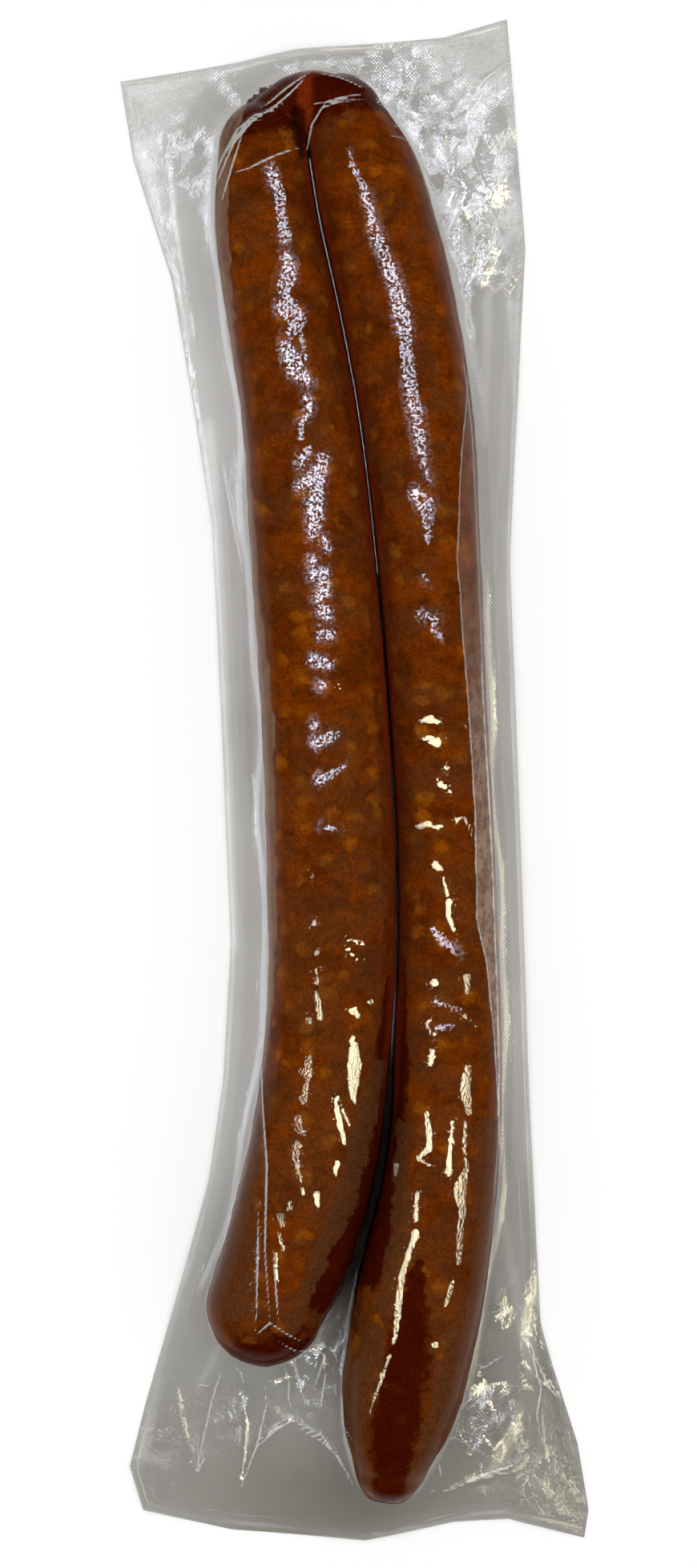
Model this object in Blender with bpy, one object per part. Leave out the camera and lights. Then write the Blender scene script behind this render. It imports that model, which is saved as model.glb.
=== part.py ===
"""Vacuum pack of two long linked smoked sausages, lying flat.

Metres, +Z up. X runs across the pack, Y along it, and the links hang together at the +Y end.
The origin is on the table, under the middle of the pack's outline.

The pack is one solid. A clear film is shrunk on to both sausages, and it goes out flat
round them as a sealed border. A sausage is a row of balls that stand close together on a
curved line, so its thickness varies and its ends are round. upper_face and lower_face give
the heights of the film over and under those balls, and two grids at these heights are
bridged at the rim.
"""

import bmesh
import bpy
import numpy as np

MM = 0.001

# Sausages and film
REST_FLAT = 0.6 * MM  # how far a sausage's own weight flattens its underside
LOWEST_AXIS = 14.0 * MM  # a thin end isn't as low as its radius: the rest of the link holds it up
FILM_OFFSET = 0.4 * MM  # from the casing to the outside of the film
SIDE_SLOPE = 4.2  # how steeply the film falls beside a sausage, as rise over run
VALLEY_FILLET = 2.6 * MM  # the film's curve where it turns from a sausage to its neighbour
FOOT_FILLET = 2.4 * MM  # and where it turns out into the border
BELLY_FILLET = 1.2 * MM  # the same on the underside
BALL_SPACING = 1.5 * MM

# The sealed border round the sausages
BORDER_THICK = 1.0 * MM  # both films and what is between them
BORDER_LOW = 1.0 * MM  # height of its middle, far from the sausages
BORDER_RISE = 5.0 * MM  # how much higher it is where it leaves a sausage
BORDER_REACH = 11.0 * MM  # over what distance it comes down
RIPPLE = 0.5 * MM  # height of its waves
RIPPLE_REACH = 8.0 * MM  # distance from a sausage at which they are full
RIPPLE_LENGTHS = (9.1 * MM, 13.7 * MM, 7.9 * MM, 21.0 * MM)
TABLE_GAP = 0.05 * MM  # it doesn't quite touch the table
TABLE_FILLET = 1.0 * MM

# Places along each sausage: X, Y and the radius there, in mm, from the linked end down
LEFT_LINK = (
    (-27.6, 194.5, 14.0),
    (-27.4, 177.3, 15.5),
    (-21.5, 140.5, 17.4),
    (-17.3, 115.9, 17.9),
    (-12.5, 66.8, 19.2),
    (-8.8, 17.7, 19.7),
    (-7.0, -31.4, 19.8),
    (-6.8, -56.0, 19.6),
    (-8.3, -80.6, 19.4),
    (-11.0, -105.0, 19.7),
    (-16.2, -129.7, 20.0),
    (-22.2, -149.0, 19.3),
    (-27.4, -161.6, 18.0),
)
RIGHT_LINK = (
    (-4.3, 203.9, 12.8),
    (1.6, 189.6, 16.0),
    (8.5, 165.0, 17.7),
    (13.8, 140.5, 18.0),
    (18.0, 115.9, 17.7),
    (22.6, 66.8, 16.2),
    (25.6, 17.7, 15.2),
    (27.2, -6.9, 15.1),
    (28.6, -56.0, 15.7),
    (28.5, -80.6, 16.6),
    (28.0, -105.0, 17.0),
    (25.2, -129.7, 18.0),
    (20.6, -154.0, 19.6),
    (16.1, -178.8, 19.2),
    (13.9, -191.0, 18.0),
    (12.5, -203.3, 14.2),
    (11.9, -213.0, 9.3),
)
# The short neck of twisted casing between them
NECK = (
    (-27.6, 204.3, 4.6),
    (-22.2, 208.9, 4.6),
    (-16.6, 211.9, 5.2),
    (-11.7, 212.0, 5.9),
    (-7.5, 209.7, 6.9),
)

# The border's outline. A long edge's points are (Y, X), a short edge's are (X, Y), in mm.
LEFT_EDGE = (
    (-227.5, -65.8),
    (-214.0, -70.0),
    (-194.5, -65.2),
    (-144.5, -50.8),
    (-124.5, -45.4),
    (-94.5, -41.0),
    (-52.0, -38.6),
    (18.0, -41.5),
    (79.0, -44.5),
    (118.0, -50.5),
    (155.5, -57.0),
    (193.0, -69.0),
    (217.0, -72.9),
)
RIGHT_EDGE = (
    (-236.3, 71.6),
    (-227.5, 72.9),
    (-207.0, 69.5),
    (-182.0, 61.5),
    (-169.5, 57.9),
    (-94.5, 54.2),
    (-7.0, 51.2),
    (68.0, 48.3),
    (130.5, 51.4),
    (165.0, 53.2),
    (236.8, 47.5),
)
TOP_EDGE = ((-72.9, 217.0), (-35.3, 223.3), (-17.3, 227.0), (28.0, 231.0), (47.5, 236.8))
BOTTOM_EDGE = (
    (-65.8, -227.5),
    (-38.3, -233.8),
    (3.4, -236.8),
    (30.8, -231.2),
    (47.9, -230.2),
    (71.6, -236.3),
)

# The grids are fine, and the finished mesh keeps this share of their triangles
COLUMNS = 110
ROWS = 320
KEPT_SHARE = 0.072

CASING_COLOUR = (0.22, 0.055, 0.012, 1.0)


def through(place, value, at):
    """Values at `at` of a smooth curve through (place, value), which overshoots nowhere."""
    slope = np.gradient(value, place)
    steps = np.diff(value) / np.diff(place)
    least = np.minimum(np.abs(np.append(steps, steps[-1])), np.abs(np.insert(steps, 0, steps[0])))
    slope = np.sign(slope) * np.minimum(np.abs(slope), 3 * least)
    left = np.clip(np.searchsorted(place, at) - 1, 0, len(place) - 2)
    width = place[left + 1] - place[left]
    t = np.clip((at - place[left]) / width, 0, 1)
    return (
        (2 * t**3 - 3 * t**2 + 1) * value[left]
        + (t**3 - 2 * t**2 + t) * width * slope[left]
        + (3 * t**2 - 2 * t**3) * value[left + 1]
        + (t**3 - t**2) * width * slope[left + 1]
    )


def edge_at(points, at):
    """Where an edge of the outline is at `at`."""
    place, value = np.array(points).T * MM
    return through(place, value, at)


def balls_along(stations):
    """A row of balls on the smooth line through the stations: X, Y, height and radius of each."""
    x, y, radius = np.array(stations).T * MM
    run = np.concatenate([[0], np.cumsum(np.hypot(np.diff(x), np.diff(y)))])
    at = np.linspace(0, run[-1], int(run[-1] / BALL_SPACING) + 2)
    radius = through(run, radius, at)
    height = np.maximum(radius, LOWEST_AXIS) - REST_FLAT
    return np.column_stack([through(run, x, at), through(run, y, at), height, radius])


def smooth_max(a, b, fillet):
    """The larger of two heights, with the corner between them filled in a curve."""
    near = np.maximum(fillet - np.abs(a - b), 0) / fillet
    return np.maximum(a, b) + near**2 * fillet / 4


def smooth_min(a, b, fillet):
    """The smaller of two heights, with the corner between them rounded off."""
    return -smooth_max(-a, -b, fillet)


def draped_over(balls, x, y):
    """Height of a film that lies on a row of balls and falls away beside them."""
    top = np.full_like(x, -1.0)
    for ball_x, ball_y, height, radius in balls:
        across = np.hypot(x - ball_x, y - ball_y)
        outer = radius + FILM_OFFSET
        leaves = outer * SIDE_SLOPE / np.hypot(1, SIDE_SLOPE)
        on_back = np.sqrt(outer**2 - np.minimum(across, leaves) ** 2)
        top = np.maximum(top, height + on_back - np.maximum(across - leaves, 0) * SIDE_SLOPE)
    return top


def slung_under(balls, x, y):
    """Height of a film that hugs a row of balls from below, and 1 m where none is above."""
    low = np.full_like(x, 1.0)
    for ball_x, ball_y, height, radius in balls:
        across = np.hypot(x - ball_x, y - ball_y)
        outer = radius + FILM_OFFSET
        depth = np.sqrt(np.maximum(outer**2 - across**2, 0))
        low = np.where(across < outer, np.minimum(low, height - depth), low)
    return low


def border_height(rows, x, y):
    """Height of the middle of the border, between its two films."""
    clear = np.full_like(x, 1.0)
    for ball_x, ball_y, _, radius in np.concatenate(rows):
        clear = np.minimum(clear, np.maximum(np.hypot(x - ball_x, y - ball_y) - radius, 0))
    rise = BORDER_RISE * np.exp(-((clear / BORDER_REACH) ** 2))
    a, b, c, d = RIPPLE_LENGTHS
    waves = np.sin(x / a + y / b) + np.sin(y / c - x / d + 1.3)
    waves = RIPPLE * (1 - np.exp(-clear / RIPPLE_REACH)) * waves
    lowest = np.full_like(x, BORDER_THICK / 2 + TABLE_GAP)
    return smooth_max(BORDER_LOW + rise + waves, lowest, TABLE_FILLET)


def upper_face(rows, x, y):
    """Height of the pack's upper face."""
    left, right, neck = (draped_over(balls, x, y) for balls in rows)
    backs = smooth_max(smooth_max(left, right, VALLEY_FILLET), neck, VALLEY_FILLET)
    return smooth_max(backs, border_height(rows, x, y) + BORDER_THICK / 2, FOOT_FILLET)


def lower_face(rows, x, y):
    """Height of the pack's lower face: bellies flattened on the table, and the border between."""
    face = border_height(rows, x, y) - BORDER_THICK / 2
    for balls in rows:
        face = smooth_min(face, slung_under(balls, x, y), BELLY_FILLET)
    return np.maximum(face, 0)


def grid_places():
    """X and Y of every point of the grid, as two arrays of rows by columns."""
    across, along = np.meshgrid(np.linspace(0, 1, COLUMNS), np.linspace(0, 1, ROWS))
    x = np.zeros_like(across)
    for _ in range(8):
        low, high = edge_at(BOTTOM_EDGE, x), edge_at(TOP_EDGE, x)
        y = low + (high - low) * along
        low, high = edge_at(LEFT_EDGE, y), edge_at(RIGHT_EDGE, y)
        x = low + (high - low) * across
    return x, y


def make_pack():
    """The pack as one closed mesh: two grids, one for each face, bridged at the rim."""
    rows = [balls_along(stations) for stations in (LEFT_LINK, RIGHT_LINK, NECK)]
    x, y = grid_places()
    bm = bmesh.new()
    for face in (upper_face, lower_face):
        z = face(rows, x, y)
        made = bmesh.ops.create_grid(bm, x_segments=COLUMNS - 1, y_segments=ROWS - 1, size=1.0)
        for vert, place in zip(made["verts"], np.stack([x, y, z], axis=-1).reshape(-1, 3)):
            vert.co = place
    rim = [edge for edge in bm.edges if edge.is_boundary]
    bmesh.ops.bridge_loops(bm, edges=rim)
    bmesh.ops.recalc_face_normals(bm, faces=bm.faces[:])
    mesh = bpy.data.meshes.new("vacuum_pack")
    bm.to_mesh(mesh)
    bm.free()
    mesh.shade_smooth()
    pack = bpy.data.objects.new("vacuum_pack", mesh)
    bpy.context.scene.collection.objects.link(pack)
    return pack


def thin_out(obj):
    """Merges the grid's small faces where the surface is nearly flat."""
    decimate = obj.modifiers.new("Decimate", "DECIMATE")
    decimate.ratio = KEPT_SHARE


def paint(obj, name, colour, roughness):
    """Gives obj a plain glossy material."""
    material = bpy.data.materials.new(name)
    material.use_nodes = True
    shader = material.node_tree.nodes["Principled BSDF"]
    shader.inputs["Base Color"].default_value = colour
    shader.inputs["Roughness"].default_value = roughness
    shader.inputs["Metallic"].default_value = 0.0
    obj.data.materials.append(material)


def main():
    for old in list(bpy.data.objects):
        bpy.data.objects.remove(old)
    pack = make_pack()
    thin_out(pack)
    paint(pack, "smoked casing under film", CASING_COLOUR, 0.25)


main()
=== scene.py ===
"""Looks of a vacuum pack of two long smoked sausages.

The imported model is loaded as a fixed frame: metres, +Z up, X across the pack and Y along it.
Its one solid, vacuum_pack, is replaced by the sausages, the twisted casing between them, a
dried flake of casing, and the clear film that is shrunk on to them all.
"""

import logging
import math
from collections.abc import Iterable
from dataclasses import dataclass, field
from enum import Enum
from functools import reduce

import bpy
import numpy as np
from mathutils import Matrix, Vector, noise
from mathutils.bvhtree import BVHTree


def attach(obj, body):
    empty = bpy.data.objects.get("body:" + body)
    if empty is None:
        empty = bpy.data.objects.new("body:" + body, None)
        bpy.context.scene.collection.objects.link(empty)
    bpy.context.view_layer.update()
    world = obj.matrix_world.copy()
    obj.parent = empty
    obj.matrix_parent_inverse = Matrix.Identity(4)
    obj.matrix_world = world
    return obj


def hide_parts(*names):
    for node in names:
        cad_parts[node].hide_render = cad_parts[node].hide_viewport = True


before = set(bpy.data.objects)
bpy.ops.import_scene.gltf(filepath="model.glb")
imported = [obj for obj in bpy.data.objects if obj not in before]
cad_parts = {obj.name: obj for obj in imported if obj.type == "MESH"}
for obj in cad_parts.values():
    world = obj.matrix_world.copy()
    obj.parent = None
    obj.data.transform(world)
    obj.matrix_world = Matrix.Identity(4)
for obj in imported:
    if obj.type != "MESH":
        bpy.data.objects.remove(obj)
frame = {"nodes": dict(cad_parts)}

LOG = logging.getLogger("vacuum_pack")

MM = 0.001
NODE = "vacuum_pack"
BODY = "root"

Array = np.ndarray
Piece = bpy.types.Object
Colour = tuple[float, float, float]
Stations = tuple[tuple[float, float, float], ...]
Strips = tuple[Stations, ...]
Line = tuple[tuple[float, float], ...]

WHITE: Colour = (1.0, 1.0, 1.0)
DOWN = Vector((0, 0, -1))


class Slot(Enum):
    """The names of the record's material slots for the casing and the film."""

    CASING = "smoked_casing"
    FILM = "clear_film"


# Shapes that the sausages and the film share, as in the model that this dresses


def through(place: Array, value: Array, at: Array) -> Array:
    """A smooth curve through values, which doesn't overshoot between them.

    Args:
        place: where the values are, rising.
        value: the values there.
        at: where the curve is wanted.

    Returns:
        The curve's values at those places.
    """
    slope = np.gradient(value, place)
    steps = np.abs(np.diff(value) / np.diff(place))
    least = np.minimum(np.append(steps, steps[-1]), np.insert(steps, 0, steps[0]))
    slope = np.sign(slope) * np.minimum(np.abs(slope), 3 * least)
    left = np.clip(np.searchsorted(place, at) - 1, 0, len(place) - 2)
    width = place[left + 1] - place[left]
    t = np.clip((at - place[left]) / width, 0, 1)
    return (
        (2 * t**3 - 3 * t**2 + 1) * value[left]
        + (t**3 - 2 * t**2 + t) * width * slope[left]
        + (3 * t**2 - 2 * t**3) * value[left + 1]
        + (t**3 - t**2) * width * slope[left + 1]
    )


def edge_at(points: Line, at: Array) -> Array:
    """Where an outline of straight runs, given in millimetres, is at these places, in metres."""
    place, value = np.array(points).T * MM
    return np.interp(at, place, value)


def smooth_max(a: Array, b: Array | float, fillet: float) -> Array:
    """The higher of two surfaces, with a curve where they meet."""
    near = np.maximum(fillet - np.abs(a - b), 0) / fillet
    return np.maximum(a, b) + near**2 * fillet / 4


def smooth_min(a: Array, b: Array | float, fillet: float) -> Array:
    """The lower of two surfaces, with a curve where they meet."""
    return -smooth_max(-a, -b, fillet)


def smooth_step(low: float, high: float, value: Array) -> Array:
    """0 at low, 1 at high, and a smooth rise between."""
    share = np.clip((value - low) / (high - low), 0, 1)
    return share * share * (3 - 2 * share)


def from_line(points: Stations, x: Array, y: Array) -> tuple[Array, Array, Array]:
    """How far places are from a bent line, and what the line is like where it is nearest.

    Args:
        points: X, Y and one more value at each corner of the line, in millimetres.
        x: X of the places, in millimetres.
        y: Y of the places, in millimetres.

    Returns:
        The distance, the line's third value at the nearest point, and how far along the
        line that point is, from 0 to 1.
    """
    best = np.full(x.shape, np.inf)
    value = np.zeros(x.shape)
    run = np.zeros(x.shape)
    if len(points) == 1:
        points = (points[0], (points[0][0], points[0][1] - 0.2, points[0][2]))
    steps = list(zip(points, points[1:]))
    lengths = [math.dist(a[:2], b[:2]) for a, b in steps]
    done = 0.0
    for (a, b), length in zip(steps, lengths):
        dx, dy = b[0] - a[0], b[1] - a[1]
        share = np.clip(((x - a[0]) * dx + (y - a[1]) * dy) / length**2, 0, 1)
        away = np.hypot(x - a[0] - share * dx, y - a[1] - share * dy)
        near = away < best
        best = np.where(near, away, best)
        value = np.where(near, a[2] + (b[2] - a[2]) * share, value)
        run = np.where(near, (done + share * length) / sum(lengths), run)
        done += length
    return best, value, run


def depth_inside(strips: Strips, x: Array, y: Array) -> Array:
    """How far inside the nearest of some strips a place is, below 0 outside them all.

    Args:
        strips: bent lines, each with X, Y and half width at its corners, in millimetres.
        x: X of the places, in millimetres.
        y: Y of the places, in millimetres.

    Returns:
        The depths, in millimetres.
    """
    deepest = np.full(x.shape, -9.0)
    for strip in strips:
        away, half, _ = from_line(strip, x, y)
        deepest = np.maximum(deepest, half - away)
    return deepest


def share_inside(strips: Strips, x: Array, y: Array) -> Array:
    """1 in the middle of the nearest strip, 0 at its edge, and down to -1 outside it."""
    deepest = np.full(x.shape, -1.0)
    for strip in strips:
        away, half, _ = from_line(strip, x, y)
        deepest = np.maximum(deepest, 1 - away / half)
    return deepest


def rough(places: Array, size: float, seed: float) -> Array:
    """Perlin noise, about -1 to 1, at places in millimetres, with bumps of that size."""
    shift = Vector((seed * 17.3, seed * 5.9, seed * 11.1))
    return np.array([noise.noise(Vector(p) / size + shift) for p in places])


# Making and finishing a mesh


def points_of(piece: Piece) -> Array:
    """The piece's vertices, as rows of X, Y and Z."""
    flat = np.empty(len(piece.data.vertices) * 3)
    piece.data.vertices.foreach_get("co", flat)
    return flat.reshape(-1, 3)


def move_points(piece: Piece, places: Array) -> None:
    """Puts the piece's vertices at these places."""
    piece.data.vertices.foreach_set("co", places.reshape(-1))
    piece.data.update()


def select_only(*pieces: Piece) -> None:
    """Selects these pieces and nothing else, and makes the first one active."""
    bpy.ops.object.select_all(action="DESELECT")
    for piece in pieces:
        piece.select_set(True)
    bpy.context.view_layer.objects.active = pieces[0]


def close_and_face_out(piece: Piece) -> None:
    """Merges the piece's doubles, turns its faces outwards and shades it smooth."""
    select_only(piece)
    bpy.ops.object.mode_set(mode="EDIT")
    bpy.ops.mesh.select_all(action="SELECT")
    bpy.ops.mesh.remove_doubles(threshold=0.002 * MM)
    bpy.ops.mesh.normals_make_consistent(inside=False)
    bpy.ops.object.mode_set(mode="OBJECT")
    bpy.ops.object.shade_smooth()


def give_values(piece: Piece, name: str, values: Array) -> None:
    """Keeps one number for each vertex of the piece, for its material to read."""
    kept = piece.data.attributes.new(name, "FLOAT", "POINT")
    kept.data.foreach_set("value", values.astype(np.float32))


def place_in_pack(piece: Piece) -> None:
    """Makes the piece part of the pack in the solid's place, and reports it."""
    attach(piece, BODY)
    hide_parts(NODE)
    piece.data.calc_loop_triangles()
    LOG.info("%s: %d triangles", piece.name, len(piece.data.loop_triangles))


# Shader maths


@dataclass(frozen=True)
class Wire:
    """A shader socket that Python's operators work on, through Math nodes."""

    graph: "Graph"
    socket: bpy.types.NodeSocket

    def __add__(self, other: "Value") -> "Wire":
        """The sum."""
        return self.graph.math("ADD", self, other)

    __radd__ = __add__

    def __sub__(self, other: "Value") -> "Wire":
        """The difference."""
        return self.graph.math("SUBTRACT", self, other)

    def __rsub__(self, other: "Value") -> "Wire":
        """The difference, with the number first."""
        return self.graph.math("SUBTRACT", other, self)

    def __mul__(self, other: "Value") -> "Wire":
        """The product."""
        return self.graph.math("MULTIPLY", self, other)

    __rmul__ = __mul__

    def __truediv__(self, other: "Value") -> "Wire":
        """The quotient."""
        return self.graph.math("DIVIDE", self, other)

    def __pow__(self, other: "Value") -> "Wire":
        """The power."""
        return self.graph.math("POWER", self, other)

    def __abs__(self) -> "Wire":
        """The size, without its sign."""
        return self.graph.math("ABSOLUTE", self)


Value = Wire | float
Inputs = dict[str | int, object]


class Graph:
    """The nodes of one material."""

    def __init__(self, name: str) -> None:
        """Starts an empty material of that name."""
        self.material = bpy.data.materials.new(name)
        self.material.use_nodes = True
        self.tree = self.material.node_tree
        self.tree.nodes.clear()

    def node(self, kind: str, inputs: Inputs | None = None, **settings: str) -> bpy.types.Node:
        """Adds a node.

        Args:
            kind: the node's type, without its ShaderNode prefix.
            inputs: numbers, colours, wires or sockets for its own sockets, by name or number.
            settings: its own properties.

        Returns:
            The node.
        """
        node = self.tree.nodes.new("ShaderNode" + kind)
        for name, setting in settings.items():
            setattr(node, name, setting)
        for key, value in (inputs or {}).items():
            if isinstance(value, Wire):
                self.tree.links.new(value.socket, node.inputs[key])
            elif isinstance(value, bpy.types.NodeSocket):
                self.tree.links.new(value, node.inputs[key])
            elif isinstance(value, tuple) and node.inputs[key].type == "RGBA":
                node.inputs[key].default_value = (*value, 1.0)
            else:
                node.inputs[key].default_value = value
        return node

    def wire(self, node: bpy.types.Node, output: str | int = 0) -> Wire:
        """One output of a node."""
        return Wire(self, node.outputs[output])

    def math(self, operation: str, *values: Value) -> Wire:
        """A Math node on these values."""
        return self.wire(self.node("Math", dict(enumerate(values)), operation=operation))

    def most(self, *values: Value) -> Wire:
        """The largest of these values."""
        return reduce(lambda a, b: self.math("MAXIMUM", a, b), values)

    def vector(self, operation: str, *values: object) -> Wire:
        """A Vector Math node on these values."""
        return self.wire(self.node("VectorMath", dict(enumerate(values)), operation=operation))

    def axis(self, place: Wire, number: int) -> Wire:
        """X, Y or Z of a place, as number 0, 1 or 2."""
        return self.wire(self.node("SeparateXYZ", {0: place}), number)

    def rise(self, value: Value, low: float, high: float) -> Wire:
        """0 below low, 1 above high, and a smooth rise between."""
        inputs = {"Value": value, "From Min": low, "From Max": high}
        return self.wire(self.node("MapRange", inputs, interpolation_type="SMOOTHSTEP"))

    def between(self, share: Value, low: float, high: float) -> Wire:
        """From low to high as share goes from 0 to 1."""
        return self.wire(self.node("MapRange", {"Value": share, "To Min": low, "To Max": high}))

    def colour(self, share: Value, first: object, second: object) -> Wire:
        """From one colour to another as share goes from 0 to 1."""
        return self.wire(self.node("Mix", {0: share, 6: first, 7: second}, data_type="RGBA"), 2)

    def turned(self, share: Value, normal: Wire, towards: object) -> Wire:
        """A normal that is turned towards a direction as share goes from 0 to 1."""
        mixed = self.node("Mix", {0: share, 4: normal, 5: towards}, data_type="VECTOR")
        return self.vector("NORMALIZE", self.wire(mixed, 1))

    def cell(self, place: Wire, size: float, soft: float) -> tuple[Wire, Wire]:
        """Rounded cells: the distance from each one's middle, and a number for each one."""
        inputs = {"Vector": place, "Scale": 1 / size, "Smoothness": soft}
        cells = self.node("TexVoronoi", inputs, feature="SMOOTH_F1")
        number = self.node("SeparateColor", {0: cells.outputs["Color"]})
        return self.wire(cells, "Distance"), self.wire(number, 0)

    def kept(self, name: str) -> Wire:
        """The number kept under that name for each vertex of the piece."""
        return self.wire(self.node("Attribute", attribute_name=name), "Fac")

    def place(self, stretch: Colour = (1, 1, 1), turn: float = 0.0) -> Wire:
        """The place on the piece in millimetres, turned about Z and divided by stretch."""
        source = self.node("TexCoord").outputs["Object"]
        turned = self.node("Mapping", {"Vector": source, "Rotation": (0, 0, turn)}).outputs[0]
        scale = tuple(1 / (MM * s) for s in stretch)
        return self.wire(self.node("Mapping", {"Vector": turned, "Scale": scale}))

    def noise(self, place: Wire, size: float, detail: float = 2, rough: float = 0.5) -> Wire:
        """Cloudy noise, about 0.25 to 0.75, with patches of that size in millimetres."""
        inputs = {"Vector": place, "Scale": 1 / size, "Detail": detail, "Roughness": rough}
        return self.wire(self.node("TexNoise", inputs))

    def facing(self, **inputs: Wire) -> Wire:
        """0 where the film is seen face on, 1 where it is seen along its surface."""
        return self.wire(self.node("LayerWeight", {"Blend": 0.5, **inputs}), "Facing")

    def bump(self, height: Wire, **below: Wire) -> Wire:
        """A normal from heights in millimetres, on top of another one given as Normal."""
        inputs = {"Height": height, "Distance": MM, "Strength": 1.0, **below}
        return self.wire(self.node("Bump", inputs))

    def matte(self, colour: object, roughness: Value, **inputs: Wire) -> Wire:
        """A surface with no gloss of its own."""
        own = {"Base Color": colour, "Roughness": roughness, "Specular IOR Level": 0.0}
        return self.wire(self.node("BsdfPrincipled", {**own, **inputs}))

    def clear(self, colour: Colour) -> Wire:
        """A surface that lets light of that colour through."""
        return self.wire(self.node("BsdfTransparent", {"Color": colour}))

    def gloss(self, roughness: Value, **inputs: Wire) -> Wire:
        """A mirror that is blurred a little."""
        own = {"Color": WHITE, "Roughness": roughness}
        return self.wire(self.node("BsdfAnisotropic", {**own, **inputs}))

    def shader(self, share: Value, first: Wire, second: Wire) -> Wire:
        """From one shader to another as share goes from 0 to 1."""
        return self.wire(self.node("MixShader", {0: share, 1: first, 2: second}))

    def finish(self, surface: Wire) -> bpy.types.Material:
        """Makes that shader the material's surface."""
        self.node("OutputMaterial", {"Surface": surface})
        return self.material


# Finishes


@dataclass(frozen=True)
class SmokedCasing:
    """A smoked casing with the meat's marbling showing through, wet where the film touches.

    Sizes are in millimetres. A share says how strongly a mark covers what is below it.
    """

    name: str
    brown: Colour = (0.092, 0.0160, 0.0009)
    orange: Colour = (0.158, 0.0290, 0.0009)
    dark: Colour = (0.042, 0.0100, 0.0016)
    fat: Colour = (0.270, 0.0720, 0.0022)
    # The red colour is the casing's own dark red, and also painted shade along the line where the
    # links meet.
    red: Colour = (0.036, 0.0022, 0.0004)
    dry: Colour = (0.082, 0.0275, 0.0088)
    # The crease colour is painted light, a brighter red for the deep crease between the links.
    crease_light: Colour = (0.15, 0.018, 0.003)
    cloud_size: float = 13.0
    patch_size: float = 4.2
    fibre_size: float = 1.3
    grain_size: float = 0.8
    shadow_size: float = 6.0
    fat_size: float = 5.4
    wisp_size: float = 4.0
    dull_size: float = 11.0
    shadow_share: float = 0.74
    fat_share: float = 0.76
    wisp_share: float = 0.45
    red_share: float = 0.92
    crease_light_share: float = 0.9
    dry_share: float = 0.85
    roughness: tuple[float, float] = (0.42, 0.70)

    def make(self) -> bpy.types.Material:
        """Builds the material.

        Returns:
            The material. It reads the pieces' own values: dry, where the film stands off a
            dull casing, red, where the casing is dark, and seam, how far the line is where
            the two links meet, in millimetres.
        """
        g = Graph(self.name)
        place, plain = g.place((1.3, 1.0, 1.0)), g.place()
        y, meeting = g.axis(plain, 1), g.kept("seam")
        clouds = g.noise(place, self.cloud_size)
        patches = g.noise(place, self.patch_size, 3, 0.6)
        fibres = g.noise(g.place((0.7, 1.4, 1.0)), self.fibre_size, 3, 0.6)
        grain = g.noise(plain, self.grain_size, 2, 0.8)

        # Marbling: orange clouds, brown shadows, pieces of fat and thin dark wisps
        warm = g.rise(clouds * 0.5 + patches * 0.5, 0.38, 0.62)
        shade = g.colour(warm, self.brown, self.orange)
        shadow = g.noise(place, self.shadow_size, 3, 0.7) + (fibres - 0.5) * 0.4
        shade = g.colour(g.rise(shadow, 0.44, 0.72) * self.shadow_share, shade, self.dark)
        away, number = g.cell(place, self.fat_size, 0.5)
        away = away + (patches - 0.5) * 1.6 + (fibres - 0.5) * 0.9
        spot = (1 - g.rise(away, 0.05, 0.60)) * g.rise(number, 0.40, 0.85)
        shade = g.colour(spot * self.fat_share, shade, self.fat)
        wisp = abs(g.noise(g.place((2.4, 0.9, 1.0), 0.15), self.wisp_size) - 0.5)
        wisp = (1 - g.rise(wisp, 0.0, 0.035)) * g.rise(patches, 0.4, 0.6)
        shade = g.colour(wisp * self.wisp_share, shade, self.dark)

        # Dark red patches; painted shade, a darker red along the line where the links meet; and
        # painted light, a brighter red deep in the crease
        seam = 1 - g.rise(meeting + (patches - 0.5) * 3.0, 0.8, 5.5)
        rugged = (patches - 0.5) * 1.5 + (fibres - 0.5) * 0.6
        blood = g.rise(g.kept("red") + rugged, -0.15, 0.4)
        shade = g.colour(g.most(blood, seam * 0.5) * self.red_share, shade, self.red)
        # Painted light: a brighter red deep in the crease, where the links meet.
        valley = (1 - g.rise(meeting, 0.8, 3.4)) * g.rise(y, -125.0, -85.0)
        shade = g.colour(valley * self.crease_light_share, shade, self.crease_light)

        # Dull, dry patches, more of them in the lower part
        dulled = g.noise(place, self.dull_size, 3, 0.65) + g.rise(y, 40.0, -140.0) * 0.10
        edge = g.kept("dry") + (patches - 0.5) * 1.5 + (fibres - 0.5) * 0.8
        dulled = g.rise(dulled, 0.46, 0.62) * 0.5 * (1 - blood)
        dusty = g.most(g.rise(edge, 0.10, 0.28), dulled)
        shade = g.colour(dusty * self.dry_share, shade, self.dry)
        speckle = g.between(grain * 0.6 + fibres * 0.4, -0.25, 2.25)
        fine = g.node("VectorMath", {0: shade, "Scale": speckle}, operation="SCALE")
        normal = g.bump(patches * 0.25 + fibres * 0.10 + grain * 0.03)
        roughness = g.between(dusty, *self.roughness)
        return g.finish(g.matte(g.wire(fine), roughness, Normal=normal))


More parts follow.
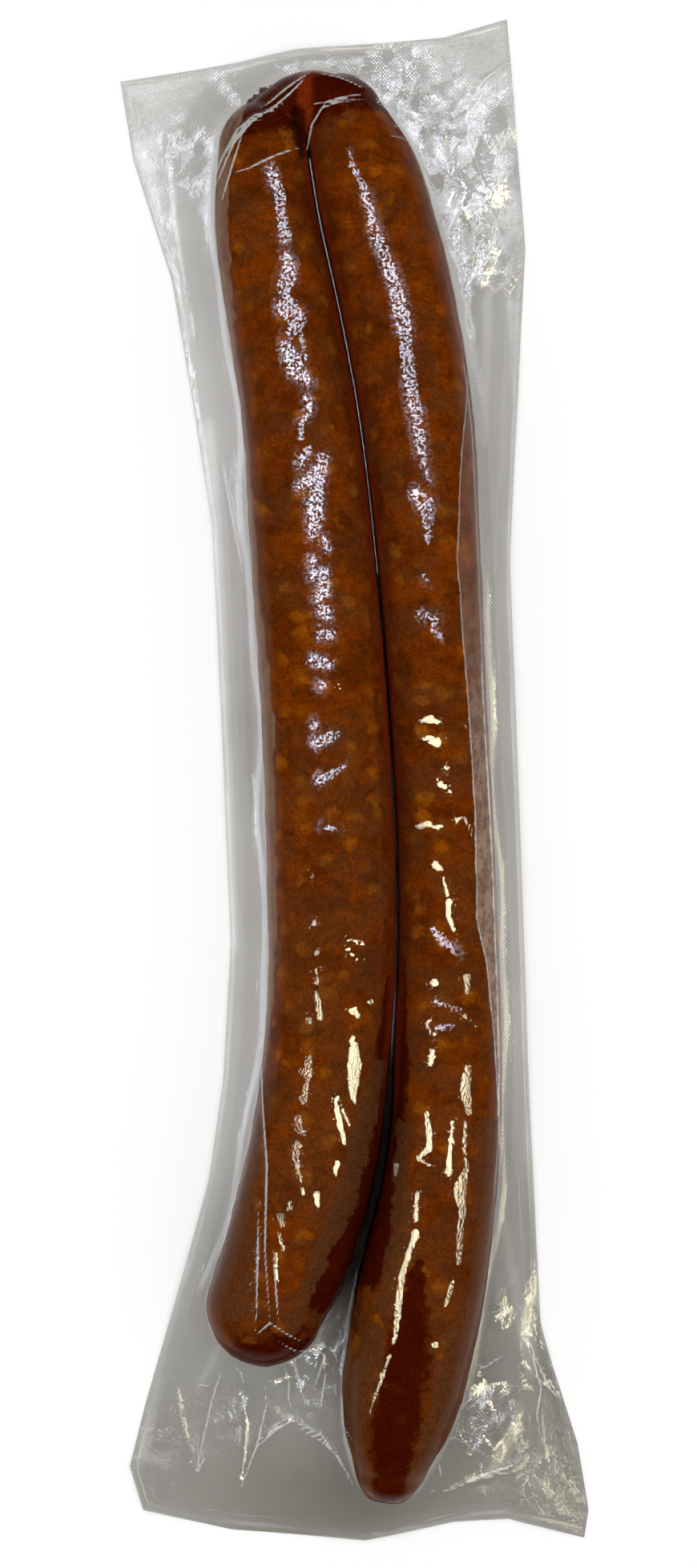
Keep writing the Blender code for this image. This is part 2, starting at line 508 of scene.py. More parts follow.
@dataclass(frozen=True)
class ShrinkFilm:
    """Clear film: greyer on the border, hazy where it stands off, and glossy on its creases.

    Sizes are in millimetres. A veil says how white a line is, and a mirror how much a kind of
    facet shows of the lamps.
    """

    name: str = "clear_film"
    grey: Colour = (0.10, 0.078, 0.02)
    # The next colour is painted shade, for the crease, the gap between the links and the hollow beside
    # the neck.
    painted_shade: Colour = (0.05, 0.012, 0.008)
    haze: Colour = (0.30, 0.19, 0.135)
    haze_left: Colour = (0.27, 0.145, 0.080)
    white: Colour = (0.66, 0.63, 0.60)
    cool_lean: Colour = (-0.169, 0.0, 0.985)
    warm_lean: Colour = (0.169, 0.0, 0.985)
    flat: Colour = (0.0, 0.0, 1.0)
    diamond: tuple[float, float] = (1.05, 1.3)
    grain_size: float = 0.8
    facet_size: float = 3.6
    facet_spread: Colour = (0.55, 0.62, 0.0)
    facet_least: Colour = (-0.38, -0.31, 1.0)
    rim_strip: float = 4.8
    left_veil: float = 0.60
    fold_veil: float = 0.34
    foot_veil: float = 0.30
    pleat_veil: float = 0.55
    rim_veil: float = 0.16
    dot_veil: float = 0.10
    cool_mirror: float = 0.038
    halo_mirror: float = 0.016
    warm_mirror: float = 0.06
    seam_mirror: float = 0.05
    sparkle_mirror: float = 0.10
    glow_mirror: float = 0.020
    crumple_mirror: float = 0.045
    border_mirror: float = 0.032
    steep_mirror: float = 0.006
    edge_mirror: float = 0.6
    roughness: tuple[float, float] = (0.15, 0.08)

    def make(self) -> bpy.types.Material:
        """Builds the material.

        Returns:
            The material. It reads the film's own values, in millimetres but for shade and
            crumple: clear, how far a place is from the sausages; rim, how far from the rim;
            cool, warm, glow and sparkle, how far inside a place that mirrors a lamp; pleat,
            how far inside a fold; seam, how far from the line where the links meet; fold and
            side, how far outside the folds beside the links; vee, the width of the gap
            between the links; shade, how grey it is; and crumple, how crumpled.
        """
        g = Graph(self.name)
        plain = g.place()
        x, y = g.axis(plain, 0), g.axis(plain, 1)
        clear, rim, seam = g.kept("clear"), g.kept("rim"), g.kept("seam")
        fold, vee = g.kept("fold"), g.kept("vee")
        off = abs(seam)
        along = g.rise(y, -150.0, -120.0) * (1 - g.rise(y, 192.0, 200.0))
        border = g.rise(clear, -0.1, 0.5) * (1 - along * (1 - g.rise(off, 2.0, 3.0)))
        touching = 1 - border
        edge = g.noise(plain, 1.3, 2, 0.6) - 0.5
        ragged = g.noise(g.place((1.0, 1.9, 1.0)), 3.0, 3, 0.65)
        cloud = g.noise(plain, 24.0, 1)
        right = g.rise(seam, 8.0, 12.0)

        # Diamonds are pressed into the films so that the air can leave.
        wide, high = self.diamond
        one = g.math("SINE", (x / wide + y / high) * math.pi)
        other = g.math("SINE", (x / wide - y / high) * math.pi)
        dots = g.rise(abs(one * other), 0.25, 0.8)
        hatch = 1 - g.rise(g.math("MINIMUM", abs(one), abs(other)), 0.1, 0.6)
        middle = 1 - g.rise(abs(y), 118.0, 135.0)
        beside = g.rise(clear, -0.9, -0.4) * (1 - g.rise(clear, 3.6, 4.6)) * right * middle
        pressed = border * g.rise(cloud + g.rise(abs(y), 150.0, 215.0) * 0.2, 0.5, 0.6)

        # What shows through the film
        strip = g.rise(rim, self.rim_strip - 0.2, self.rim_strip + 0.2) * 0.02
        # Painted light: the border is kept clearer near the sausages, which offsets the shadow they
        # cast on it.
        shadow = UnderFilm.shadow(g, y, clear)
        # The border's grey tint is partly the film's own and partly painted shade, darker towards the
        # bottom.
        tint = (g.kept("shade") * shadow + (cloud - 0.5) * 0.08 + strip) * border
        tint = tint + beside * (hatch * 0.30 - 0.02) + pressed * hatch * 0.05
        below = g.shader(tint, g.clear(WHITE), g.clear(self.grey))
        # Painted shade: the film is darkened along the line where the links meet, over the gap between
        # them and in the hollow beside the neck.
        upper = g.rise(y, -20.0, 110.0) * 0.35
        dark = (1 - g.rise(off - upper, 0.05, 0.40)) * along * 0.5
        gap = (1 - g.rise(vee, 2.0, 9.0)) * g.rise(vee, 0.2, 1.2) * g.rise(clear, -0.8, 0.0)
        recess_shade = g.rise(g.kept("recess_shade") + edge * 2.0, -1.0, 1.6) * 0.55
        below = g.shader(g.most(dark, gap * 0.85, recess_shade), below, g.clear(self.painted_shade))

        # Haze where the film stands off, and folds seen as pale lines
        wander = edge * 0.5 + (ragged - 0.5) * 1.2
        band = g.rise(fold + wander, -0.10, 0.15) * g.rise(y, -130.0, -112.0)
        band = band * g.between(g.rise(y, 75.0, -20.0), 0.24, 0.98)
        left = g.rise(g.kept("side") + (ragged - 0.5) * 3.6, -0.10, 0.25)
        left = left * g.rise(y, -135.0, -110.0)
        streaks = g.between(g.rise(ragged + edge * 0.4, 0.32, 0.66), 0.42, 1.0)
        haze = (band + left * self.left_veil) * touching * streaks
        line = 1 - g.rise(abs(fold + wander), 0.08, 0.32)
        line = line * g.rise(y, -150.0, -135.0) * (1 - g.rise(y, 120.0, 128.0))
        foot = (1 - g.rise(abs(clear + 1.2 + wander * 0.4), 0.08, 0.30)) * right * middle
        pleat = g.rise(g.kept("pleat") + edge * 0.35, -0.10, 0.12)
        bound = 1 - g.rise(abs(rim - self.rim_strip + edge * 0.6), 0.08, 0.30)
        bound = bound * border * g.rise(cloud, 0.45, 0.6) * self.rim_veil
        folds = line * self.fold_veil, pleat * self.pleat_veil, foot * self.foot_veil
        lines = g.most(*folds, bound)
        veil = g.most(haze, lines) + pressed * dots * self.dot_veil
        tone = g.most(g.rise(lines, 0.02, 0.12), border)
        hazy = g.colour(left, self.haze, self.haze_left)
        hazed = g.shader(veil, below, g.matte(g.colour(tone, hazy, self.white), 0.6))

        # Facets that mirror the lamps
        grain = g.noise(plain, self.grain_size, 1, 0.7)
        cool = g.rise(g.kept("cool") + edge * 2.6, 0.0, 0.45)
        halo = g.rise(g.kept("cool") + edge * 3.0, -2.6, 0.1) * g.rise(cloud, 0.40, 0.52)
        specks = g.rise(g.kept("warm"), -2.4, -0.4) * g.rise(grain, 0.66, 0.70) * touching
        warm = g.most(g.rise(g.kept("warm") + edge * 2.0, -0.08, 0.10), specks * 0.7)
        sparkle = g.rise(g.kept("sparkle") + edge * 5.0, -0.6, 1.4) * dots
        glow = g.rise(g.kept("glow") + (ragged - 0.5) * 7.0, -0.8, 2.6)
        stretch = (1 - g.rise(abs(seam + edge * 0.2), 0.10, 0.26)) * g.rise(y, 58.0, 64.0)
        stretch = stretch * (1 - g.rise(y, 188.0, 192.0))
        normal = g.wire(g.node("NewGeometry"), "Normal")
        steep = 1 - g.rise(g.axis(normal, 2), 0.55, 0.9)

        # Crumpled film is made of small flat facets, each one leaning its own way.
        crumple = g.rise(g.kept("crumple"), 0.12, 0.65) * border
        shifted = g.vector("ADD", g.place((1.0, 2.0, 1.0), 0.5), edge * 3.0)
        facets = g.node("TexVoronoi", {"Vector": shifted, "Scale": 1 / self.facet_size})
        lean = facets.outputs["Color"], self.facet_spread, self.facet_least
        normal = g.turned(crumple, normal, g.vector("MULTIPLY_ADD", *lean))
        normal = g.turned(g.most(cool, halo, sparkle, glow) * 0.9, normal, self.cool_lean)
        normal = g.turned(warm * 0.9, normal, self.warm_lean)
        normal = g.turned(stretch, normal, self.flat)
        height = grain * 0.04 + border * g.noise(plain, 4.0, 3, 0.55) * 0.38
        normal = g.bump(height + pressed * dots * 0.05, Normal=normal)
        valley = g.most(1 - (1 - g.rise(off, 2.4, 5.0)) * along, stretch)
        sharp = g.between(g.rise(grain, 0.42, 0.60), 0.0, 1.9)
        mirror = g.facing(Normal=normal) ** 5.0 * valley * self.edge_mirror
        for share, much in (
            (cool * sharp, self.cool_mirror),
            (halo * sharp, self.halo_mirror),
            (warm, self.warm_mirror),
            (stretch, self.seam_mirror),
            (sparkle, self.sparkle_mirror),
            (glow, self.glow_mirror),
            (crumple, self.crumple_mirror),
            (border, self.border_mirror),
            (steep * touching * valley, self.steep_mirror),
        ):
            mirror = mirror + share * much
        smooth = g.most(warm, border, g.rise(y, 10.0, -60.0))
        gloss = g.gloss(g.between(smooth, *self.roughness), Normal=normal)
        return g.finish(g.shader(mirror, hazed, gloss))


@dataclass(frozen=True)
class UnderFilm:
    """The film that the pack lies on: as grey as the upper one, and evenly glossy."""

    name: str = "clear_film_below"
    grey: Colour = ShrinkFilm.grey
    mirror: float = 0.03
    edge_mirror: float = 0.9
    roughness: float = 0.12

    @staticmethod
    def shadow(g: Graph, y: Wire, clear: Wire) -> Wire:
        """Painted light: how much greyer the border is away from the sausages, and all over low down.
        """
        low = g.between(g.rise(y, -90.0, -140.0), 0.7, 0.12)
        return 1 - (1 - g.rise(clear, 0.0, 7.0)) * low

    def make(self) -> bpy.types.Material:
        """Builds the material, which reads the film's own values clear and shade."""
        g = Graph(self.name)
        clear = g.kept("clear")
        # Painted light: the border is kept clearer near the sausages, which offsets the shadow they
        # cast on it.
        tint = g.rise(clear, -0.1, 0.9) * self.shadow(g, g.axis(g.place(), 1), clear)
        below = g.shader(g.kept("shade") * tint, g.clear(WHITE), g.clear(self.grey))
        mirror = self.mirror + g.facing() ** 5.0 * self.edge_mirror
        return g.finish(g.shader(mirror, below, g.gloss(self.roughness)))


# The sausages


@dataclass
class Sausage:
    """One link: balls that stand close together on a bent line, with a skin over them.

    A tip is round at 1 and blunter below that. Lumps and gathers are heights.
    """

    name: str
    stations: Stations
    seed: float
    tips: tuple[float, float] = (1.0, 1.0)
    dry: Strips = ()
    red: Strips = ()
    segments: int = 112
    rings: int = 400
    cap_rings: int = 18
    rest_flat: float = 0.6 * MM
    lowest_axis: float = 14.0 * MM
    spacing: float = 1.5 * MM
    underside: float = 0.45 * MM
    underside_fillet: float = 0.8 * MM
    narrower_tip: float = 0.55
    lump: float = 0.40 * MM
    lump_sizes: tuple[float, float] = (9.0, 4.0)
    lump_shares: tuple[float, float] = (0.65, 0.35)
    pucker: float = 0.35 * MM
    pucker_fades: float = 2.2
    folds: int = 11
    press_gap: float = 0.10 * MM
    press_fillet: float = 0.8 * MM
    row: Array = field(init=False)

    def __post_init__(self) -> None:
        """Works out the row of balls: X, Y, height of the middle, and radius."""
        x, y, radius = np.array(self.stations).T * MM
        run = np.concatenate([[0], np.cumsum(np.hypot(np.diff(x), np.diff(y)))])
        at = np.linspace(0, run[-1], int(run[-1] / self.spacing) + 2)
        radius = through(run, radius, at)
        height = np.maximum(radius, self.lowest_axis) - self.rest_flat
        self.row = np.column_stack([through(run, x, at), through(run, y, at), height, radius])

    def build(self, finish: bpy.types.Material) -> Piece:
        """Models the link from a sphere whose rings are spread along the line.

        Args:
            finish: its material.

        Returns:
            The finished piece.
        """
        bpy.ops.object.select_all(action="DESELECT")
        bpy.ops.mesh.primitive_uv_sphere_add(segments=self.segments, ring_count=self.rings, radius=1)
        piece = bpy.context.object
        piece.name = self.name
        ball = points_of(piece)
        ring = np.arccos(np.clip(ball[:, 2], -1, 1)) / np.pi * self.rings
        turn = np.arctan2(ball[:, 1], ball[:, 0])
        move_points(piece, self.skin(ring, turn))
        close_and_face_out(piece)
        piece.data.materials.append(finish)
        place_in_pack(piece)
        return piece

    def keep_values(self, piece: Piece, seam: Array) -> None:
        """Keeps what the casing's material reads.

        Args:
            piece: this link's piece.
            seam: how far each vertex is from where the two links meet, in millimetres.
        """
        x, y, _ = points_of(piece).T / MM
        give_values(piece, "dry", share_inside(self.dry, x, y))
        give_values(piece, "red", share_inside(self.red, x, y))
        give_values(piece, "seam", seam)

    def skin(self, ring: Array, turn: Array) -> Array:
        """Where the skin's vertices are.

        Args:
            ring: the vertex's ring, from 0 at the first tip.
            turn: its angle round the link.

        Returns:
            Rows of X, Y and Z.
        """
        cap, last = self.cap_rings, self.rings - self.cap_rings
        share = np.clip((ring - cap) / (last - cap), 0, 1) * (len(self.row) - 1)
        index = np.arange(len(self.row))
        middle = np.column_stack([np.interp(share, index, c) for c in self.row.T])
        ahead = np.gradient(self.row[:, :2], axis=0)
        ahead /= np.hypot(*ahead.T)[:, None]
        ahead = np.column_stack([np.interp(share, index, c) for c in ahead.T])
        side = np.column_stack([-ahead[:, 1], ahead[:, 0]])
        from_tip = np.minimum(ring, self.rings - ring) / cap
        lean = np.clip(from_tip, 0, 1) * np.pi / 2
        blunt = np.where(ring < cap, *self.tips)
        narrower = 1 - self.narrower_tip * (1 - blunt) * np.cos(lean)
        wide = (np.sin(lean) ** blunt * narrower * np.cos(turn))[:, None]
        high = np.sin(lean) ** blunt * narrower * np.sin(turn)
        out = (np.where(ring < cap, -1, 1) * np.cos(lean))[:, None]
        radius = middle[:, 3]
        flat = middle[:, :2] + radius[:, None] * (wide * side + out * ahead)
        places = np.column_stack([flat, middle[:, 2] + radius * high])
        gathers = np.sin(turn * self.folds + self.seed) * np.sin(lean)
        grow = self.pucker * gathers * np.exp(-from_tip * self.pucker_fades)
        for size, much, seed in zip(self.lump_sizes, self.lump_shares, (0, 3)):
            grow += self.lump * much * rough(places / MM, size, self.seed + seed)
        outward = places - middle[:, :3]
        outward /= np.maximum(np.linalg.norm(outward, axis=1), 1e-6)[:, None]
        places += outward * grow[:, None]
        places[:, 2] = smooth_max(places[:, 2], self.underside, self.underside_fillet)
        return places

    def press_against(self, piece: Piece, other: "Sausage") -> None:
        """Flattens the piece where it and its neighbour press on each other.

        Args:
            piece: this link's piece.
            other: the neighbour.
        """
        places = points_of(piece)
        side = 1 if self.row[0, 0] < other.row[0, 0] else -1
        wall = wall_between(self, other, places[:, 1]) * side - self.press_gap
        places[:, 0] = smooth_min(places[:, 0] * side, wall, self.press_fillet) * side
        move_points(piece, places)


def wall_between(first: Sausage, second: Sausage, y: Array) -> Array:
    """X of the plane where two links press on each other, at these places along them."""
    one, two = first.row[::-1], second.row[::-1]
    x0, r0 = (np.interp(y, one[:, 1], one[:, c]) for c in (0, 3))
    x1, r1 = (np.interp(y, two[:, 1], two[:, c]) for c in (0, 3))
    return (x0 + x1) / 2 + (r0**2 - r1**2) / (2 * (x1 - x0))


@dataclass(frozen=True)
class DriedFlake:
    """A stiff, jagged flake of casing beside the twisted end, with its sizes in millimetres."""

    name: str = "casing_tail"
    spine: Line = ((-35.5, 204.0), (-31.5, 208.2), (-27.5, 211.3), (-23.5, 213.2))
    height: float = 15.5
    wide: float = 2.4
    thick: float = 0.5
    jags: float = 0.9
    jag_size: float = 2.3
    wave: float = 0.8
    wave_size: float = 4.0
    lean: tuple[float, float, float] = (-0.6, 0.8, -0.5)
    steps: int = 40
    looks: tuple[tuple[str, float], ...] = (("dry", 0.15), ("red", 0.4), ("seam", 30.0))

    def build(self, finish: bpy.types.Material) -> Piece:
        """Models the flake as a grid that is bent along its spine and given a thickness.

        Args:
            finish: its material.

        Returns:
            The finished piece.
        """
        bpy.ops.object.select_all(action="DESELECT")
        bpy.ops.mesh.primitive_grid_add(x_subdivisions=self.steps, y_subdivisions=6, size=2)
        piece = bpy.context.object
        piece.name = self.name
        flat = points_of(piece)
        along, across = (flat[:, 0] + 1) / 2, flat[:, 1]
        run = np.linspace(0, 1, len(self.spine))
        x, y = (np.interp(along, run, column) for column in np.array(self.spine).T)
        places = np.column_stack([along * 40, across * 3, np.zeros(len(x))])
        jagged = 1 + self.jags * rough(places, self.jag_size, 4.0) * np.clip(across, 0, 1)
        out = across * self.wide / 2 * jagged * np.sin(np.pi * (along * 0.9 + 0.05)) ** 0.4
        z = self.height + rough(places, self.wave_size, 6.0) * self.wave
        spots = np.column_stack([x, y, z]) + out[:, None] * np.array(self.lean)
        move_points(piece, spots * MM)
        solid = piece.modifiers.new("thickness", "SOLIDIFY")
        solid.thickness = self.thick * MM
        select_only(piece)
        bpy.ops.object.modifier_apply(modifier=solid.name)
        close_and_face_out(piece)
        for name, value in self.looks:
            give_values(piece, name, np.full(len(piece.data.vertices), value))
        piece.data.materials.append(finish)
        place_in_pack(piece)
        return piece


# Each link's X, Y and radius, and the half width of its dull and its dark red patches

LEFT_LINK: Stations = (
    (-27.6, 194.5, 14), (-27.4, 177.3, 15.5), (-21.5, 140.5, 17.4), (-17.3, 115.9, 17.9),
    (-12.5, 66.8, 19.2), (-8.8, 17.7, 19.7), (-7, -31.4, 19.8), (-6.8, -56, 19.6), (-8.3, -80.6, 19.4),
    (-11, -105, 19.7), (-16.2, -129.7, 20), (-22.2, -149, 19.3), (-27.4, -161.6, 18),
)
RIGHT_LINK: Stations = (
    (-4.3, 203.9, 12.8), (1.6, 189.6, 16), (8.5, 165, 17.7), (13.8, 140.5, 18), (18, 115.9, 17.7),
    (22.6, 66.8, 16.2), (25.6, 17.7, 15.2), (27.2, -6.9, 15.1), (28.6, -56, 15.7), (28.5, -80.6, 16.6),
    (28, -105, 17), (25.2, -129.7, 18), (20.6, -154, 19.6), (16.1, -178.8, 19.2), (13.9, -191, 18),
    (12.1, -203.3, 15), (11.1, -210.1, 12.2),
)
NECK: Stations = (
    (-28, 199, 9.5), (-22.5, 203.5, 9.5), (-17, 206.5, 10.3), (-12, 207.5, 10.3), (-6.5, 205.5, 11.5),
)
LEFT_DRY: Strips = (
    ((-30.6, -80, 4), (-32, -105, 5), (-35, -130, 6), (-37.7, -158, 8)),
    ((7, -87, 3), (2.4, -105, 4.5), (-3, -127, 4.5), (-11.2, -145.5, 3), (-19.5, -166.6, 2.5)),
)
# The last strip, on the left link's inner flank beside the gap between the links, is painted shade.
LEFT_RED_AND_SHADE: Strips = (
    ((-37, 197, 5), (-28, 204, 9), (-18, 206, 10)), ((-30, -179, 12), (-22, -176, 12)),
    ((10.5, -60, 1), (9, -88, 4), (4, -125, 8), (-8, -155, 9)),
)
RIGHT_DRY: Strips = (
    (
        (5.5, -168, 5), (4.2, -176, 5.2), (0.9, -190.6, 4.9), (-0.6, -198.7, 3.4), (1.8, -210, 2),
        (3.4, -217, 2.4),
    ),
    ((39.7, -104.7, 4), (38.2, -154, 5), (31.1, -171, 6.7), (27.9, -188, 6), (18.3, -216, 3.8)),
    ((14.5, -106, 2.5), (13.7, -137, 3.5), (9, -160, 3)),
)
# The last strip, on the right link's inner flank beside the gap between the links, is painted shade.
RIGHT_RED_AND_SHADE: Strips = (
    ((-14, 207, 10), (-3, 211, 9), (7, 208, 5)),
    ((19, -146, 2), (17, -162, 6), (15, -178, 9), (13, -195, 9), (10.5, -221, 6)),
    ((14.5, -55, 1), (14, -85, 2.6), (10, -125, 6), (3, -150, 6)),
)
NECK_RED: Strips = (((-27, 206, 7), (-17, 210, 7), (-5, 210, 7)),)


# The film


@dataclass(frozen=True)
class Pleat:
    """A thin fold that stands up from the film along a bent line, in millimetres."""

    line: Line
    height: float
    width: float = 0.45
    half: float = 0.36

    def rise(self, x: Array, y: Array) -> tuple[Array, Array]:
        """How much the pleat lifts the film at places, and how far inside its line they are."""
        points = tuple((*p, 0.0) for p in self.line)
        away, _, run = from_line(points, x, y)
        fades = np.sin(np.pi * np.clip(run * 0.96 + 0.02, 0, 1)) ** 0.5
        return self.height * fades * np.exp(-away / self.width), self.half * fades - away


@dataclass(frozen=True)
class Crinkle:
    """A place where the film is crumpled: X, Y, reach and height, in millimetres."""

    x: float
    y: float
    reach: float
    height: float

    def share(self, x: Array, y: Array) -> Array:
        """How high the crumpling is at places in millimetres."""
        away = np.hypot(x - self.x, y - self.y) / self.reach
        return self.height * np.exp(-(away**2))


# Lines of the film's folds, by their height
PLEAT_LINES: dict[float, tuple[Line, ...]] = {
    1.1: (
        ((-29, 203.9), (-21.4, 210), (-12.6, 216.7)),
        ((-43.5, 184.6), (-35.7, 197.3), (-30, 202), (-23.4, 203.4)),
    ),
    1: (
        ((-12.1, 215.9), (-5, 214.2), (1.8, 210.8), (4.5, 210.8)),
        ((-44.5, 181.4), (-40.3, 189.7), (-33.2, 198.6), (-21.9, 205.7)),
        ((-29, -75), (-28, -98), (-26.5, -116), (-27, -141), (-25.5, -164)),
    ),
    0.9: (
        ((-27.6, 202.4), (-19.7, 208.8), (-14.8, 213.9)),
        ((-9.2, 204.9), (-13.1, 199.3), (-14.1, 194.4), (-14.8, 191.7)),
        ((4.8, 210.3), (7.5, 207.1), (17.8, 203.4), (20.2, 201.5)),
        ((49, 224), (40.9, 218), (34.8, 209.5)),
        ((48.6, 216.5), (35.6, 207.8), (35.2, 200), (42.6, 177.7), (46, 169)),
        ((34, 188.9), (31.4, 175.9), (27.5, 164.8), (30.5, 158.3)),
        ((-30, -167.5), (-25.5, -163.5), (-20, -167.5), (-15, -171)),
        ((1, -148.9), (-1.8, -163), (-3.2, -171.4), (-6, -176.9), (-4.1, -185.4)),
        ((-40.6, -181.2), (-44.3, -192.8), (-46.9, -204), (-49, -214.8)),
    ),
    0.8: (
        ((-13.6, 205.6), (-9.2, 205.4), (-3.3, 207.1), (3.3, 208.6)),
        ((5.8, 207.1), (11.4, 203.4), (22.2, 195.3)),
        ((-37.4, 183.6), (-31.3, 185.3), (-24.4, 188.7), (-15.8, 192.6)),
        ((-34.2, 195.8), (-37.4, 186), (-40.8, 174.8)), ((2, 213), (19.3, 206), (27.9, 193.2)),
        ((-23.7, -169), (-18.1, -173.2), (-11.6, -175.1), (-6.9, -176.9), (-4.6, -181.7)),
        ((-15.8, -175.9), (-11.6, -176.4), (-9.3, -178.9), (-10.7, -183.5), (-13, -190.1)),
        ((-28, -187.3), (-27.5, -194.8), (-30.3, -206.9), (-35.9, -221.9)),
        ((27.7, -201.3), (31.4, -204), (39.9, -209.7), (46.3, -213)),
        ((33.5, -196.5), (39.6, -191.5), (41.4, -185.8)),
        ((-4.1, -185.4), (-3.6, -197.3), (-0.2, -201.4)),
    ),
    0.7: (
        ((-42.6, 181), (-37, 193), (-31, 199.8), (-24, 201.2)),
        ((-29, -129), (-29.5, -159), (-30, -166)), ((-24.5, -141), (-23, -163)),
        ((-21, -183.5), (-19.1, -180.7), (-16.3, -191), (-15.3, -194.7)),
        ((-56, -186.4), (-54.1, -198.6), (-52.3, -206), (-49, -212.5)),
        ((-27, -187), (-20.5, -185.4), (-16, -186.5)),
        ((22, -220.9), (29.6, -220.9), (35.2, -218.6), (50, -215.3), (59.5, -211.6)),
        ((53, -175), (55.8, -181.7), (58.1, -190.1), (56.7, -198.5), (59.5, -211.6)),
        ((39, -188), (43.5, -196.5), (46.5, -205)), ((-19, -179.3), (-16.6, -187.9)),
        ((-22.3, -180.7), (-20.4, -186.9), (-20.6, -192.6), (-19.5, -197.3)),
        ((-9.4, -180.3), (-9, -184.1), (-10.9, -196.8)),
        ((-29.9, -207.4), (-25.2, -203), (-19, -198.8)),
        ((-38.4, -181.2), (-35.2, -184.1), (-34.4, -188.8)),
        ((36.8, -180.8), (40.1, -182.4), (46.7, -178.7)),
    ),
    0.6: (
        ((-11, 203.5), (-5, 205.6), (3.8, 206.6)), ((11.5, 198.8), (19.3, 198.3), (21.9, 193.2)),
        ((41.7, 163), (33.9, 150.9)),
        ((-49.7, 204.4), (-57, 200.9), (-58.7, 194.9), (-56.6, 172.5), (-49.7, 134.5)),
        ((-30.3, -206), (-25.6, -202.3), (-19.1, -199.4), (-9.7, -204), (-2.2, -215.3)),
        ((-17.5, -201.7), (-10.9, -205), (-6.1, -208.7)),
        ((-51.3, -212.6), (-48.9, -215.5), (-46.1, -210.2)), ((25.7, -210.9), (27.4, -217.4)),
        ((-10.6, -205.5), (-5.2, -209.7), (0.1, -219.9)), ((22.2, 206), (31.5, 211)),
        ((20.8, 202.5), (26.2, 202)),
    ),
    0.5: (
        ((10.9, 194.9), (16.1, 194.9), (18.8, 191.7)), ((53, -183), (60, -189), (64.5, -194)),
        ((-48.9, -188.4), (-44.2, -188.8)), ((35.9, 176.8), (43.5, 172.3), (45.3, 168.3)),
    ),
    0.4: (((-42, 102), (-34.5, 62)), ((47.9, 183.9), (40.4, 179.9))),
}
PLEATS = (
    Pleat(((-35.4, -190.1), (-33.3, -200.3), (-34.2, -211.6), (-35.4, -218.2)), 1.3, 0.6, 0.45),
    Pleat(((34.2, -218.2), (41.7, -216.2), (49.2, -213.5), (53.9, -210.7)), 1, 0.5, 0.4),
    *(Pleat(line, height) for height, lines in PLEAT_LINES.items() for line in lines),
)
CRINKLES = (
    Crinkle(30, 196, 20, 1.5),
    Crinkle(12, 219, 12, 0.9),
    Crinkle(-50, 192, 12, 0.6),
    Crinkle(42, 160, 9, 0.7),
    Crinkle(-8, -180, 12, 1.2),
    Crinkle(-34, -196, 13, 0.5),
    Crinkle(39, -198, 11, 1.2),
    Crinkle(44, -165, 9, 0.4),
)

